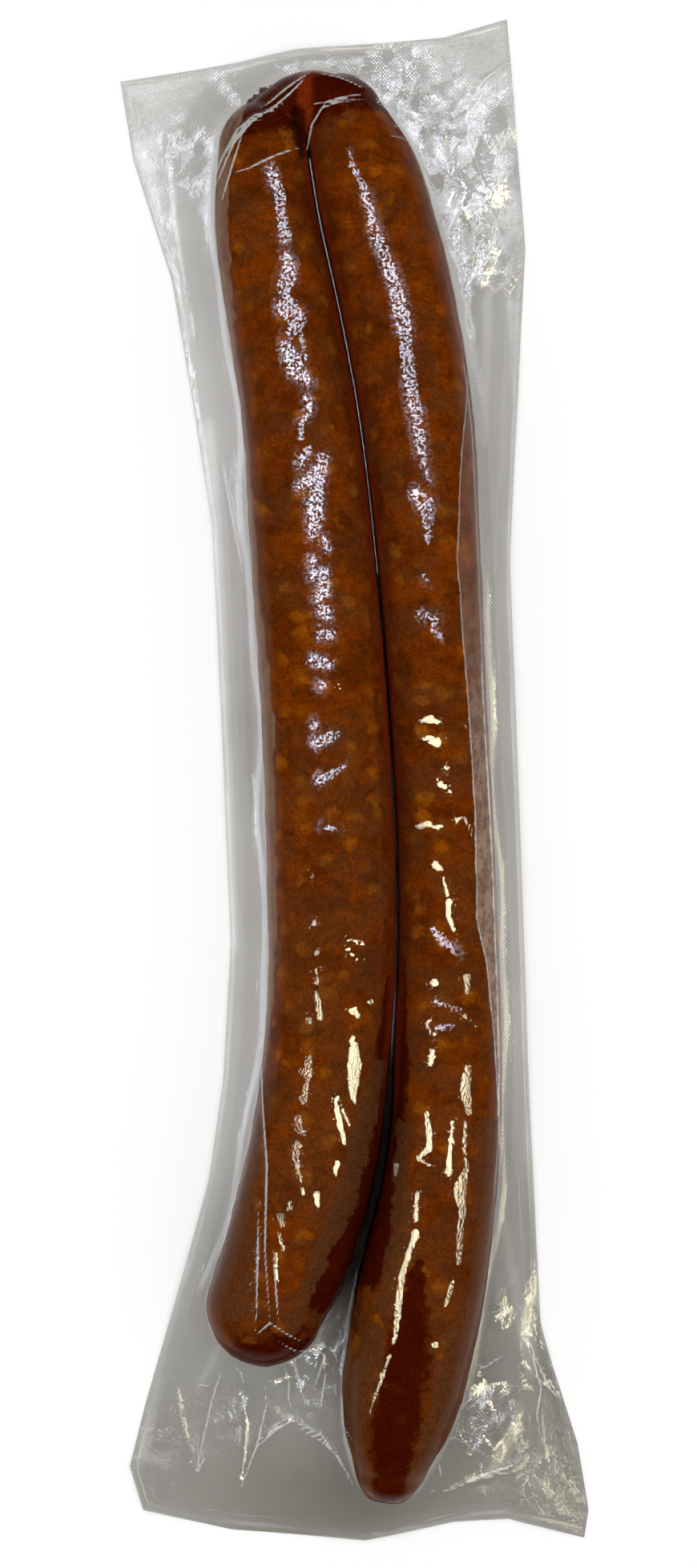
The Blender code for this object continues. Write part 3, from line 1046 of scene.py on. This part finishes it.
# Flat facets of the film that mirror the lamps: X, Y and half width
COOL_FACETS: Strips = (
    ((-1.7, 189.6, 0.4), (-0.5, 184.8, 1.1), (2.5, 179.1, 1.3), (4.6, 170.6, 1.4), (6, 164.5, 1.7)),
    ((6, 164.5, 1.7), (8.5, 159, 1.9), (10.9, 152.3, 2), (12.6, 145.5, 2.3), (14.7, 138, 2.2)),
    ((14.7, 138, 2.2), (15.5, 129.8, 2.1), (16.4, 121.4, 2.3), (18.2, 112, 2.1), (20, 100, 1.4)),
    ((20, 100, 1.4), (21, 94.4, 0.7), (22.7, 89.8, 0.4)),
    ((18.3, 86.2, 1.7), (22, 82.1, 2.9), (22, 76.8, 1.7), (22.2, 71.8, 1)),
    ((20.5, 61.9, 0.7), (22.7, 59.2, 0.6)),
    ((20, 49.4, 1), (24.4, 48.6, 1.3), (24.4, 45, 1.8), (26.5, 41.2, 0.9)),
    ((23.6, -45.6, 1), (27.3, -49.2, 1.9), (31.6, -53.1, 0.7)),
    ((24.6, -67.3, 0.6), (29.9, -69.2, 1.2), (32.6, -69.7, 0.7)),
    ((24.6, -75, 0.9), (27.3, -75, 1.2), (30.4, -74, 0.5)),
    ((-25.5, 184.5, 1.4), (-22.4, 176.4, 2), (-22.4, 171.3, 1.8), (-20.9, 164, 2.1)),
    ((-20.9, 158, 1.2), (-19.7, 155.6, 1.7), (-20.2, 151.3, 3), (-21.4, 147.2, 2.2)),
    ((-20.2, 142.1, 3.4), (-17.3, 138, 2.9), (-19, 134.7, 2)),
    ((-16.1, 133.2, 1), (-14.9, 126.5, 0.8)),
    ((-20.7, 130.5, 2), (-17.3, 123.1, 2.8), (-14, 119.7, 1.4)),
    ((-14, 114.9, 1.2), (-13.5, 111.5, 1), (-16.1, 106.5, 1), (-16.1, 102.4, 1)),
    ((-13.5, 99.2, 1.2), (-14.2, 98.3, 1.7), (-16.1, 94.9, 1.2)),
    ((-9.6, 96.6, 1.9), (-10.8, 92.2, 2.4), (-16.8, 87.7, 1)),
    ((-10.1, 94.2, 2.2), (-12, 83.8, 2.2), (-12, 77.8, 2.4), (-12.5, 73.5, 1.5)),
    ((-9.1, 71.8, 1.2), (-8.2, 69.1, 1)), ((-12.7, 65.7, 1.2),),
    ((-12, 61.4, 1.9), (-9.1, 62.1, 1.5), (-9.6, 56.1, 2.2), (-10.8, 54.4, 1.5)),
    ((-9.1, 50.1, 2.2), (-7.9, 48.6, 1.2)), ((-10.3, 43.3, 1.8), (-7.2, 43.3, 1.6)),
    ((-12.5, 35.9, 1.4), (-9.1, 34.7, 1.9), (-7.4, 34.2, 1.1)), ((-9.9, 27.9, 1.2),),
    ((-12.3, 16.1, 1.6),), ((-11.8, 11, 1.6), (-6.5, 12.7, 2), (-4.3, 13.7, 0.7)),
    ((-10.8, -0.1, 1.3), (-7.4, 1.2, 1.5), (-3.1, 3.8, 1), (-2.1, 5.5, 0.5)),
    ((-9.6, -14.3, 0.7), (-7.4, -14.8, 1.1), (-5.3, -15, 0.6)),
    ((15.9, 208.3, 0.6), (20.2, 205.1, 0.9), (18, 200.9, 0.6)),
    ((25.5, 198.6, 0.4), (26.3, 193.3, 1), (27.7, 191.7, 0.7)),
    ((27.7, 172.9, 0.5), (28.8, 167.4, 0.7)), ((24.6, 212, 1.3), (27.2, 210, 0.8)),
    ((31, 183, 0.5), (29, 178, 0.8)), ((-37.3, 219, 0.7), (-37, 213, 0.4)),
    ((29.7, 213.6, 0.3), (34.7, 217.6, 0.6)), ((29.7, 202.2, 0.5), (34.7, 204.2, 0.8)),
    ((35, 204.5, 0.5), (37, 207, 0.7), (40.5, 208.5, 0.4)),
    ((41, 214.5, 0.2), (45.5, 218, 0.7), (48.8, 222, 0.5)), ((43.8, 211.4, 0.4), (48.8, 216, 0.6)),
    ((24.8, 191.4, 0.5), (26.6, 193, 1.4), (26, 198, 0.5)), ((32.6, 197, 0.4), (33.6, 194.4, 0.6)),
    ((33.2, 186, 0.5), (34.4, 184, 0.8)), ((34.4, 182.6, 0.6), (33.2, 179.2, 0.9)),
    ((27.2, 173, 0.6), (30, 175.5, 1.1), (33.4, 177.4, 0.8)),
    ((32.4, 173, 1), (31.4, 168, 1.6), (30.2, 162.4, 1.3)),
    ((40.6, 163.3, 0.2), (36.5, 156, 0.6), (33.2, 150.1, 0.4)),
    ((17, 203, 0.5), (18.6, 198, 1.2), (20, 196, 0.7)),
    ((-54, 206, 0.3), (-57, 202.4, 0.5), (-58.6, 199, 0.3)), ((-48.5, 202, 0.8), (-47.5, 198.6, 0.5)),
)
WARM_FACETS: Strips = (
    ((19.8, 17.1, 0.7), (22.7, 18.3, 1.2), (25.8, 16.6, 0.6)), ((32.6, 16.8, 0.6), (34, 15.9, 0.6)),
    ((20, 12.7, 0.5), (22.7, 12, 1.2), (24.9, 11, 1.4)), ((27.7, 3.8, 0.8),),
    ((24.9, -0.5, 0.7), (26.5, -2.2, 0.8), (29.4, -4.2, 0.5)),
    ((18.3, -14.8, 0.7), (22, -13.8, 1), (26.5, -14.8, 0.6)),
    ((30.4, -12.6, 0.8), (33.5, -11.9, 0.7), (35.7, -16.9, 0.5)),
    ((24.4, -26.1, 1.2), (26.5, -27.3, 0.5)), ((26.8, -29.9, 0.4), (28, -35, 0.5)),
    ((28.5, -36.7, 1), (28.2, -41, 0.6), (29.9, -45.6, 0.5)), ((24.1, -61.5, 1.2),),
    ((34, -59.8, 1.2), (34, -64.6, 0.6)),
    ((23.1, -72.4, 0.4), (21.5, -74.1, 0.4), (22.7, -76.2, 0.4), (25.1, -77.4, 0.4)),
    ((33, -71.4, 0.4), (36.7, -74.5, 0.4)), ((23.4, -82.2, 0.8), (22.9, -85.6, 1.1)),
    ((34, -87.1, 1), (33.5, -92.8, 1.6), (34, -98.1, 1.4), (34.5, -101.3, 0.6)),
    ((21.7, -100.8, 0.6), (22.4, -107.1, 0.9), (22.4, -111.6, 0.9), (19.3, -114.3, 0.7)),
    ((19.3, -114.3, 0.7), (22.4, -116.5, 0.4)), ((29.4, -103.5, 0.4), (28.2, -118.6, 0.9)),
    ((33.5, -103.5, 0.5), (33, -111.6, 0.5), (34, -116.9, 0.7), (31.6, -123.2, 1.9)),
    ((31.6, -123.2, 1.9), (32.6, -130.4, 1.2), (31.6, -138.4, 1), (31.4, -145.6, 0.9)),
    ((29.4, -150.9, 0.5), (27.3, -157.9, 0.6)), ((18.8, -124.9, 0.7), (18.3, -133.1, 0.7)),
    ((18.3, -136.5, 1.1), (16.4, -142, 0.7), (14.2, -149, 0.9), (13.3, -155.3, 1.1)),
    ((13.3, -155.3, 1.1), (12.8, -162.5, 0.9), (11.6, -169.7, 0.5)),
    ((10.4, -173.3, 0.6), (8, -180.5, 0.6), (4.4, -191.6, 0.5)),
    ((12.6, -117.4, 0.8), (12.3, -119.6, 0.5)), ((24.1, -169.7, 1),), ((-13, -28.7, 0.6),),
    ((-4.8, 27.9, 0.6),), ((-12, -43.2, 0.9),), ((-11.5, -51.9, 1),),
    ((-11.5, -56.7, 0.5), (-11.5, -61.5, 0.5)), ((-11.5, -65.1, 0.8), (-10.3, -71.4, 0.9)),
    ((-13.7, -72.4, 1.1),), ((-1.9, -48.5, 0.5), (2.2, -49.2, 0.8)),
    ((-2.6, -50.9, 0.4), (0.5, -54, 0.4), (3.2, -54, 0.3)), ((-0.5, -69.7, 1.2), (1.2, -71.4, 0.7)),
    ((4.8, -67.1, 0.9),),
    ((-0.5, -77.7, 0.7), (0, -85.6, 2.2), (-0.5, -92.8, 1.5), (-0.2, -97.4, 0.5)),
    ((-13.7, -83.9, 0.9), (-14.2, -89.2, 1.2), (-16.1, -87.5, 0.7)),
    ((-14.7, -91.9, 0.8), (-15.6, -96.5, 1.2)),
    ((-5.8, -96.5, 0.5), (-4.8, -101.8, 0.9), (-3.1, -109, 0.7)),
    ((-5.3, -95.5, 0.3), (-1.7, -103.9, 0.4)),
    ((-16.8, -101.8, 1.1), (-16.8, -105.4, 1.2), (-15.2, -106.3, 0.7)),
    ((-17.3, -109.7, 1.4), (-17.8, -113.3, 0.9), (-16.6, -118.6, 0.5), (-15.4, -124.2, 0.5)),
    ((-5.3, -115.3, 0.9), (-5.8, -118.6, 0.5)), ((-11.5, -124.9, 0.9), (-11.1, -128, 0.5)),
    ((-19.3, -127.5, 0.9), (-20, -129.5, 0.5)), ((-22.4, -131.2, 1.2), (-21.4, -133.8, 0.8)),
    ((-22.9, -136.5, 0.7), (-21.4, -141, 0.5)), ((-28.7, -128.5, 0.7),),
    ((-28.7, -134.8, 0.5), (-29.4, -145.6, 0.6), (-31.3, -152.6, 0.5), (-30.6, -159.8, 0.5)),
    ((-23.6, -142, 0.4), (-23.4, -150, 0.5)),
    ((-35.4, -190.1, 0.3), (-33.3, -200.3, 0.5), (-34.2, -211.6, 0.5), (-35.4, -218.2, 0.8)),
    ((-24.7, -187.3, 0.4), (-20.5, -185.4, 0.5)), ((-20, -199, 0.5),), ((-6.9, -200.3, 0.6),),
    ((-15, -177, 0.4), (-10.5, -176.5, 0.4)), ((-3, -166, 0.3), (-4.2, -176, 0.3)),
    ((41.6, -193.5, 0.9), (43.5, -196, 0.6)), ((33.2, -204, 0.6), (35.2, -206, 0.4)),
    ((40, -203, 0.4), (42.6, -207.5, 0.7)),
    ((34.2, -218.2, 0.3), (41.7, -216.2, 0.5), (49.2, -213.5, 0.4)), ((48.3, -205, 0.4),),
)
# Soft glare on the border, and where its pressed dots glint
GLOW: Strips = (
    ((9.3, 211, 2), (15.5, 208, 2.5), (20.7, 204, 2.5)),
    ((17.5, 201, 2), (19.5, 196, 2.2), (22.5, 189, 2)), ((26.5, 196, 3), (27, 192, 3)),
    ((28, 178, 2.5), (31, 170, 3.5), (33, 160, 3.2), (34.5, 150, 2.5)),
    ((34.5, 150, 2.5), (35.5, 140, 2), (35.5, 128, 1.2)),
    ((30, 203, 2), (38, 208, 2.2), (46, 214, 2.2)),
    ((-57.8, 190, 1.8), (-57, 175, 2.2), (-55.5, 158, 1.8), (-50, 134, 1)),
    ((-48, 201, 2.5), (-45, 195, 2.5)), ((-42, 217, 3), (-37, 210, 2.5)),
    ((-22, 221, 2.5), (0, 223, 2.5)), ((-31, -190, 1.5), (-29, -205, 1.5), (-33, -217, 1.2)),
    ((-47, -212.6, 1.4), (-46.8, -221, 1.2)), ((-43, -219.5, 0.8), (-38.5, -217.5, 1.6)),
    ((-18.5, -217.4, 1), (-11.4, -211.7, 1.2)), ((-16.6, -221.2, 0.9), (-9.4, -215, 1.2)),
    ((-14, -178, 2), (-9, -190, 2.5), (-14, -199, 2)), ((34, -189, 2), (40, -200, 3), (36, -208, 2)),
    ((38, -214, 1.4), (50, -211, 1.4), (60, -207, 1.2)),
)
SPARKLES: Strips = (
    ((5.8, 225.5, 2.4), (10, 217.5, 3)), ((13.6, 224, 2), (18, 219, 2.6)),
    ((22.6, 226.5, 1.2), (26, 217.5, 1.8)), ((32, 221, 1.6), (33.5, 225, 1)),
    ((-8, 224, 2), (-2, 220, 2.4)), ((-43, 218.5, 3), (-37.5, 211, 2.2)),
    ((-24, 221.5, 1.6), (-18, 219, 2)), ((-63, 170, 0.8), (-57, 146, 1.6), (-51.5, 124, 1)),
)
# Layers of folded film that look greyer or paler, with how much for each one
LAYERS: tuple[tuple[Stations, float], ...] = (
    (((22, 208, 2.5), (30, 203.5, 2.5)), 0.05),
    (((-34.6, 62, 0.3), (-33.8, 45, 1.3), (-32.8, 20, 1.5), (-31.8, -10, 1)), 0.06),
    (((-45.5, 110, 2.2), (-43, 70, 2.4), (-40, 18, 1.8), (-37.4, -52, 1.4)), -0.06),
    (((-57.8, 190, 2), (-56.8, 175, 2.2), (-55.4, 160, 1.8), (-50.5, 136, 1)), -0.07),
    (((45.6, 167, 1.2), (41.1, 148.4, 1.6), (41.1, 136.2, 1.7), (39.9, 102.4, 1)), -0.06),
    (((49.5, 190, 1.5), (50.5, 160, 1.5), (49, 125, 1.2), (47, 80, 0.8)), 0.03),
    (((-52, -150, 1), (-62, -185, 2), (-66, -210, 2.5)), -0.05),
    (((-48.8, -190, 0.8), (-44, -180, 1.6), (-40.5, -172, 0.6)), -0.05),
    (((45, -130, 1), (50.5, -160, 2), (55, -185, 2)), -0.05),
    (((52.6, -120, 0.8), (55, -160, 1.4), (61, -190, 1.6), (68, -220, 1.6)), 0.05),
)
# The hollow beside the neck, where shade is painted, and where the film's folds and haze begin: Y and
# X
RECESS_SHADE: Stations = ((-17.4, 202.5, 2.6), (-17, 197, 2.2), (-16.2, 190, 1))
FOLD_LINE: Line = (
    (-123.9, 44.5), (-104.4, 44), (-80, 42.4), (-55.6, 40), (-43, 37), (-10.5, 36.5), (17.6, 34.8),
    (66.3, 31.1), (88.5, 31.8), (103.2, 32.8), (112.4, 33.8), (124.9, 34.5), (137.8, 30.6),
    (154.7, 27.3), (171.5, 23.4), (186, 19.8), (200.5, 15), (205, 13),
)
HAZE_LINE: Line = (
    (-125, -34.5), (-80, -26), (-44, -23.5), (18, -24.4), (52, -28.4), (108.9, -32.6),
    (137.8, -36.6), (150, -37.2), (171, -38.6), (186, -38.3), (198, -36), (205, -33),
)
# How grey the border is along its left side, its right side, and more so at its lower middle; partly
# the film's own grey, partly painted shade that darkens it towards the bottom
GREY_LEFT: Line = (
    (-237, 0.29), (-205, 0.29), (-157, 0.21), (-105, 0.16), (-55, 0.16), (20, 0.18), (97, 0.125),
    (165, 0.14), (237, 0.19),
)
GREY_RIGHT: Line = (
    (-237, 0.31), (-222, 0.31), (-182, 0.3), (-155, 0.255), (-80, 0.18), (-7, 0.21), (115, 0.18),
    (165, 0.21), (237, 0.185),
)


@dataclass
class Film:
    """Two films that are sealed round the sausages, as one closed skin.

    Edges are Y and X, or X and Y, in millimetres. Fillets round the corner between two forms.
    """

    links: tuple[Sausage, ...]
    neck: Sausage
    columns: int = 201
    rows: tuple[tuple[float, float, int], ...] = (
        (-237.0, -60.0, 208),
        (-60.0, 165.0, 152),
        (165.0, 237.0, 96),
    )
    coarse: int = 4
    stand_off: float = 0.25 * MM
    side_slope: float = 6.0
    valley_fillet: float = 0.8 * MM
    foot_fillet: float = 0.9 * MM
    belly_fillet: float = 1.2 * MM
    least_gap: float = 0.12 * MM
    least_fillet: float = 0.25 * MM
    wrinkle: float = 0.12
    wrinkle_sizes: tuple[float, float] = (9.0, 4.5)
    wrinkle_sharpness: float = 2.2
    seeds: tuple[float, float] = (2.0, 5.0)
    finer_share: float = 0.4
    wrinkles_from_links: tuple[float, float] = (-1.0, 4.0)
    wrinkles_from_rim: tuple[float, float] = (0.5, 7.0)
    gap: float = 0.5 * MM
    border_low: float = 1.0 * MM
    border_rise: float = 5.0 * MM
    border_reach: float = 11.0 * MM
    ripple: float = 0.5 * MM
    ripple_reach: float = 8.0 * MM
    ripple_lengths: tuple[float, ...] = (9.1 * MM, 13.7 * MM, 7.9 * MM, 21.0 * MM)
    table_gap: float = 0.05 * MM
    table_fillet: float = 1.0 * MM
    widest_vee: float = 30.0 * MM
    start_size: tuple[float, float] = (100.0 * MM, 400.0 * MM)
    rounds: int = 8
    left_edge: Line = (
        (-227.5, -65.8), (-214, -70), (-194.5, -65.2), (-144.5, -50.8), (-124.5, -45.4), (-94.5, -41),
        (-52, -38.6), (18, -41.5), (79, -44.5), (118, -50.5), (155.5, -57), (193, -69), (217, -72.9),
    )
    right_edge: Line = (
        (-236.3, 71.6), (-227.5, 72.9), (-207, 69.5), (-182, 61.5), (-169.5, 57.9), (-94.5, 54.2),
        (-7, 51.2), (68, 48.3), (130.5, 51.4), (165, 53.2), (236.8, 47.5),
    )
    top_edge: Line = ((-72.9, 217), (-35.3, 223.3), (-17.3, 227), (28, 231), (47.5, 236.8))
    bottom_edge: Line = (
        (-65.8, -227.5), (-38.3, -233.8), (3.4, -236.8), (30.8, -231.2), (47.9, -230.2),
        (71.6, -236.3),
    )

    @property
    def all_links(self) -> tuple[Sausage, ...]:
        """The links and the neck between them."""
        return (*self.links, self.neck)

    def build(
        self,
        finishes: tuple[bpy.types.Material, bpy.types.Material],
        contents: list[Piece],
    ) -> Piece:
        """Models the film as an upper and a lower grid that are bridged at the rim.

        Args:
            finishes: the materials of the upper and the lower film.
            contents: the pieces that the film lies on.

        Returns:
            The finished piece.
        """
        along = self.row_shares()
        across = np.linspace(0, 1, self.columns)
        upper = self.sheet(across, along, contents)
        lower = self.sheet(across[:: self.coarse], along[:: self.coarse], [])
        for sheet in (upper, lower):
            for finish in finishes:
                sheet.data.materials.append(finish)
        lower.data.polygons.foreach_set("material_index", [1] * len(lower.data.polygons))
        select_only(upper, lower)
        bpy.ops.object.join()
        bpy.ops.object.mode_set(mode="EDIT")
        bpy.ops.mesh.select_all(action="DESELECT")
        bpy.ops.mesh.select_mode(type="EDGE")
        bpy.ops.mesh.select_non_manifold(extend=False)
        bpy.ops.mesh.bridge_edge_loops()
        bpy.ops.mesh.select_all(action="SELECT")
        bpy.ops.mesh.normals_make_consistent(inside=False)
        bpy.ops.object.mode_set(mode="OBJECT")
        bpy.ops.object.shade_smooth()
        upper.name = "vacuum_film"
        self.keep_values(upper)
        place_in_pack(upper)
        return upper

    def row_shares(self) -> Array:
        """The rows' places from 0 at the bottom to 1 at the top, closer where it is crumpled."""
        parts = [np.linspace(a, b, n, endpoint=False) for a, b, n in self.rows]
        y = np.append(np.concatenate(parts), self.rows[-1][1])
        return (y - y[0]) / (y[-1] - y[0])

    def sheet(self, across: Array, along: Array, contents: list[Piece]) -> Piece:
        """One film, from a grid whose points are moved.

        Args:
            across: the columns' places from 0 to 1.
            along: the rows' places from 0 to 1.
            contents: what the upper film lies on, or nothing for the lower film.

        Returns:
            The film, open at its rim.
        """
        bpy.ops.object.select_all(action="DESELECT")
        bpy.ops.mesh.primitive_grid_add(
            x_subdivisions=len(across) - 1, y_subdivisions=len(along) - 1, size=2
        )
        piece = bpy.context.object
        flat = points_of(piece)
        column = np.rint((flat[:, 0] + 1) / 2 * (len(across) - 1)).astype(int)
        row = np.rint((flat[:, 1] + 1) / 2 * (len(along) - 1)).astype(int)
        x, y = self.places(across[column], along[row])
        z = self.over(x, y, contents) if contents else self.under(x, y)
        move_points(piece, np.column_stack([x, y, z]))
        return piece

    def places(self, across: Array, along: Array) -> tuple[Array, Array]:
        """X and Y of a point at these shares of the way across and along the outline."""
        x, y = (across - 0.5) * self.start_size[0], (along - 0.5) * self.start_size[1]
        for _ in range(self.rounds):
            low, high = edge_at(self.bottom_edge, x), edge_at(self.top_edge, x)
            y = low + (high - low) * along
            left, right = edge_at(self.left_edge, y), edge_at(self.right_edge, y)
            x = left + (right - left) * across
        return x, y

    def clearance(self, links: Iterable[Sausage], x: Array, y: Array) -> Array:
        """How far outside the outline of these links a place is, below 0 inside it."""
        clear = np.full(x.shape, np.inf)
        for link in links:
            for ball_x, ball_y, _, radius in link.row:
                clear = np.minimum(clear, np.hypot(x - ball_x, y - ball_y) - radius)
        return clear

    def draped(self, link: Sausage, x: Array, y: Array) -> Array:
        """Height of a film that is drawn tight over one link and falls steeply beside it."""
        slope = self.side_slope
        top = np.full(x.shape, -1.0)
        for ball_x, ball_y, height, radius in link.row:
            outer = radius + self.stand_off
            leaves = outer * slope / math.hypot(1, slope)
            across = np.hypot(x - ball_x, y - ball_y)
            on_back = np.sqrt(outer**2 - np.minimum(across, leaves) ** 2)
            falls = np.maximum(across - leaves, 0) * slope
            top = np.maximum(top, height + on_back - falls)
        return top

    def border(self, x: Array, y: Array) -> Array:
        """Height of the sealed border's middle."""
        clear = np.maximum(self.clearance(self.all_links, x, y), 0)
        a, b, c, d = self.ripple_lengths
        waves = np.sin(x / a + y / b) + np.sin(y / c - x / d + 1.3)
        waves *= self.ripple * (1 - np.exp(-clear / self.ripple_reach))
        lifted = self.border_rise * np.exp(-((clear / self.border_reach) ** 2))
        lowest = self.gap / 2 + self.table_gap
        return smooth_max(self.border_low + lifted + waves, lowest, self.table_fillet)

    def over(self, x: Array, y: Array, contents: list[Piece]) -> Array:
        """Height of the upper film.

        Args:
            x: X of the places.
            y: Y of the places.
            contents: what the film lies on.

        Returns:
            The heights, a little above the contents everywhere.
        """
        top, *others = (self.draped(link, x, y) for link in self.all_links)
        for other in others:
            top = smooth_max(top, other, self.valley_fillet)
        top = smooth_max(top, self.border(x, y) + self.gap / 2, self.foot_fillet)
        mm_x, mm_y = x / MM, y / MM
        places = np.column_stack([mm_x, mm_y, np.zeros(x.shape)])
        crumple = sum(crinkle.share(mm_x, mm_y) for crinkle in CRINKLES) + self.wrinkle
        clear = self.clearance(self.all_links, x, y) / MM
        free = smooth_step(*self.wrinkles_from_links, clear)
        free *= smooth_step(*self.wrinkles_from_rim, self.from_rim(x, y))
        coarse, fine = self.wrinkle_sizes
        facets = 1 - np.abs(rough(places, coarse, self.seeds[0])) * self.wrinkle_sharpness
        finer = 1 - np.abs(rough(places, fine, self.seeds[1])) * self.wrinkle_sharpness
        lift = crumple * (facets + finer * self.finer_share) * free
        for pleat in PLEATS:
            lift += pleat.rise(mm_x, mm_y)[0]
        top = top + lift * MM
        graph = bpy.context.evaluated_depsgraph_get()
        for piece in contents:
            tree = BVHTree.FromObject(piece, graph)
            hits = (tree.ray_cast(Vector((a, b, 0.1)), DOWN)[0] for a, b in zip(x, y))
            solid = np.array([-1.0 if hit is None else hit.z for hit in hits])
            top = smooth_max(top, solid + self.least_gap, self.least_fillet)
        return top

    def under(self, x: Array, y: Array) -> Array:
        """Height of the lower film."""
        low = self.border(x, y) - self.gap / 2
        for link in self.all_links:
            slung = np.full(x.shape, 1.0)
            for ball_x, ball_y, height, radius in link.row:
                outer = radius + self.stand_off
                across = np.hypot(x - ball_x, y - ball_y)
                drop = np.sqrt(np.maximum(outer**2 - across**2, 0))
                slung = np.minimum(slung, np.where(across < outer, height - drop, 1.0))
            low = smooth_min(low, slung, self.belly_fillet)
        return np.maximum(low, self.table_gap)

    def from_rim(self, x: Array, y: Array) -> Array:
        """Distance from the nearer long or short edge, in millimetres."""
        sides = np.minimum(x - edge_at(self.left_edge, y), edge_at(self.right_edge, y) - x)
        ends = np.minimum(y - edge_at(self.bottom_edge, x), edge_at(self.top_edge, x) - y)
        return np.minimum(sides, ends) / MM

    def keep_values(self, piece: Piece) -> None:
        """Keeps the distances that the film's material reads."""
        x, y, _ = points_of(piece).T
        mm_x, mm_y = x / MM, y / MM
        left, right = self.links
        beside = sum(self.clearance((link,), x, y) for link in self.links)
        kept = {
            "clear": self.clearance(self.all_links, x, y) / MM,
            "rim": self.from_rim(x, y),
            "seam": (x - wall_between(left, right, y)) / MM,
            "vee": np.minimum(beside, self.widest_vee) / MM,
            "fold": (x - edge_at(FOLD_LINE, y)) / MM,
            "side": (edge_at(HAZE_LINE, y) - x) / MM,
            "crumple": sum(crinkle.share(mm_x, mm_y) for crinkle in CRINKLES),
            "pleat": np.max([pleat.rise(mm_x, mm_y)[1] for pleat in PLEATS], axis=0),
            "shade": self.shade(mm_x, mm_y),
        }
        mirrors = {"cool": COOL_FACETS, "warm": WARM_FACETS, "glow": GLOW}
        for name, strips in {**mirrors, "sparkle": SPARKLES, "recess_shade": (RECESS_SHADE,)}.items():
            kept[name] = depth_inside(strips, mm_x, mm_y)
        for name, values in kept.items():
            give_values(piece, name, values)

    def shade(self, x: Array, y: Array) -> Array:
        """How grey the border is at places in millimetres."""
        to_right = smooth_step(-15, 15, x)
        left, right = (edge_at(line, y * MM) / MM for line in (GREY_LEFT, GREY_RIGHT))
        shade = left * (1 - to_right) + right * to_right
        # Painted shade: greyer still at the lower middle.
        shade += np.exp(-(((x + 8) / 26) ** 2)) * smooth_step(-200, -222, y) * 0.08
        # Painted shadow below the gap between the links.
        shade += np.exp(-(((x + 3) / 9) ** 2) - ((y + 172) / 12) ** 2) * 0.16
        for strip, greyer in LAYERS:
            shade += smooth_step(0.0, 0.4, depth_inside((strip,), x, y)) * greyer
        return shade


# Studio


@dataclass(frozen=True)
class Panel:
    """A soft light that points down: where it is, its size, and how bright it looks."""

    name: str
    at: Vector
    size: tuple[float, float]
    radiance: float
    colour: Colour
    mirrored: bool = True

    def build(self) -> None:
        """Adds the light."""
        light = bpy.data.lights.new(self.name, "AREA")
        light.shape = "RECTANGLE"
        light.size, light.size_y = self.size
        light.energy = self.radiance * math.pi * self.size[0] * self.size[1]
        light.color = self.colour
        lamp = bpy.data.objects.new(self.name, light)
        lamp.location = self.at
        lamp.visible_camera = False
        lamp.visible_glossy = self.mirrored
        lamp.visible_diffuse = not self.mirrored
        bpy.context.scene.collection.objects.link(lamp)


@dataclass(frozen=True)
class Studio:
    """A pale floor, soft lights and the camera, straight above the pack."""

    camera_at: Vector = Vector((-0.0019, -0.0015, 1.0))
    seen_length: float = 0.489
    sensor: float = 36.0
    floor: Colour = (0.95, 0.95, 0.95)
    floor_size: float = 8.0
    world: float = 0.5
    panels: tuple[Panel, ...] = (
        Panel("fill", Vector((0, 0, 1.6)), (1.4, 1.4), 3.0, WHITE, False),
        Panel("cool", Vector((-0.45, 0.135, 1.3)), (0.30, 0.80), 12.0, (0.80, 0.86, 1.0)),
        Panel("warm", Vector((0.45, -0.19, 1.3)), (0.26, 0.66), 18.0, (1.0, 0.93, 0.62)),
        Panel("strip", Vector((0.0, 0.15, 1.3)), (0.16, 0.72), 9.0, (0.95, 0.95, 1.0)),
        Panel("window", Vector((0.0, 0.66, 1.3)), (1.4, 0.60), 3.6, (0.88, 0.93, 1.0)),
    )

    def build(self) -> None:
        """Adds the floor, the lights, the world and the camera."""
        bpy.ops.object.select_all(action="DESELECT")
        bpy.ops.mesh.primitive_plane_add(size=self.floor_size)
        ground = bpy.context.object
        ground.name = "floor"
        g = Graph("pale_floor")
        paint = g.node("BsdfPrincipled", {"Base Color": self.floor, "Roughness": 0.8})
        ground.data.materials.append(g.finish(g.wire(paint)))

        for panel in self.panels:
            panel.build()

        sky = bpy.data.worlds.new("pale_room")
        sky.use_nodes = True
        glow = sky.node_tree.nodes["Background"].inputs
        glow["Color"].default_value = (*WHITE, 1.0)
        glow["Strength"].default_value = self.world
        sky.cycles_visibility.glossy = False
        bpy.context.scene.world = sky
        bpy.context.scene.view_settings.view_transform = "Standard"

        camera = bpy.data.cameras.new("camera")
        camera.sensor_width = self.sensor
        camera.lens = self.sensor * self.camera_at.z / self.seen_length
        eye = bpy.data.objects.new("camera", camera)
        eye.location = self.camera_at
        bpy.context.scene.collection.objects.link(eye)
        bpy.context.scene.camera = eye


def main() -> None:
    """Builds the pack's pieces in order, then the studio."""
    logging.basicConfig(level=logging.INFO, format="%(message)s")
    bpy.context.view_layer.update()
    LOG.info("frame: %s", ", ".join(frame["nodes"]))
    casing = SmokedCasing("smoked_casing").make()
    left = Sausage("sausage_left", LEFT_LINK, 1.0, dry=LEFT_DRY, red=LEFT_RED_AND_SHADE, lump=0.55 * MM)
    right = Sausage("sausage_right", RIGHT_LINK, 2.0, (1.0, 0.45), RIGHT_DRY, RIGHT_RED_AND_SHADE)
    neck = Sausage("casing_neck", NECK, 3.0, red=NECK_RED, segments=48, rings=90, cap_rings=12)
    links = (left, right, neck)
    pieces = [link.build(casing) for link in links]
    left.press_against(pieces[0], right)
    right.press_against(pieces[1], left)
    for link, piece in zip(links, pieces):
        x, y, _ = points_of(piece).T
        link.keep_values(piece, np.abs(x - wall_between(left, right, y)) / MM)
    pieces.append(DriedFlake().build(casing))
    Film((left, right), neck).build((ShrinkFilm().make(), UnderFilm().make()), pieces)
    Studio().build()


if __name__ == "__main__":
    main()
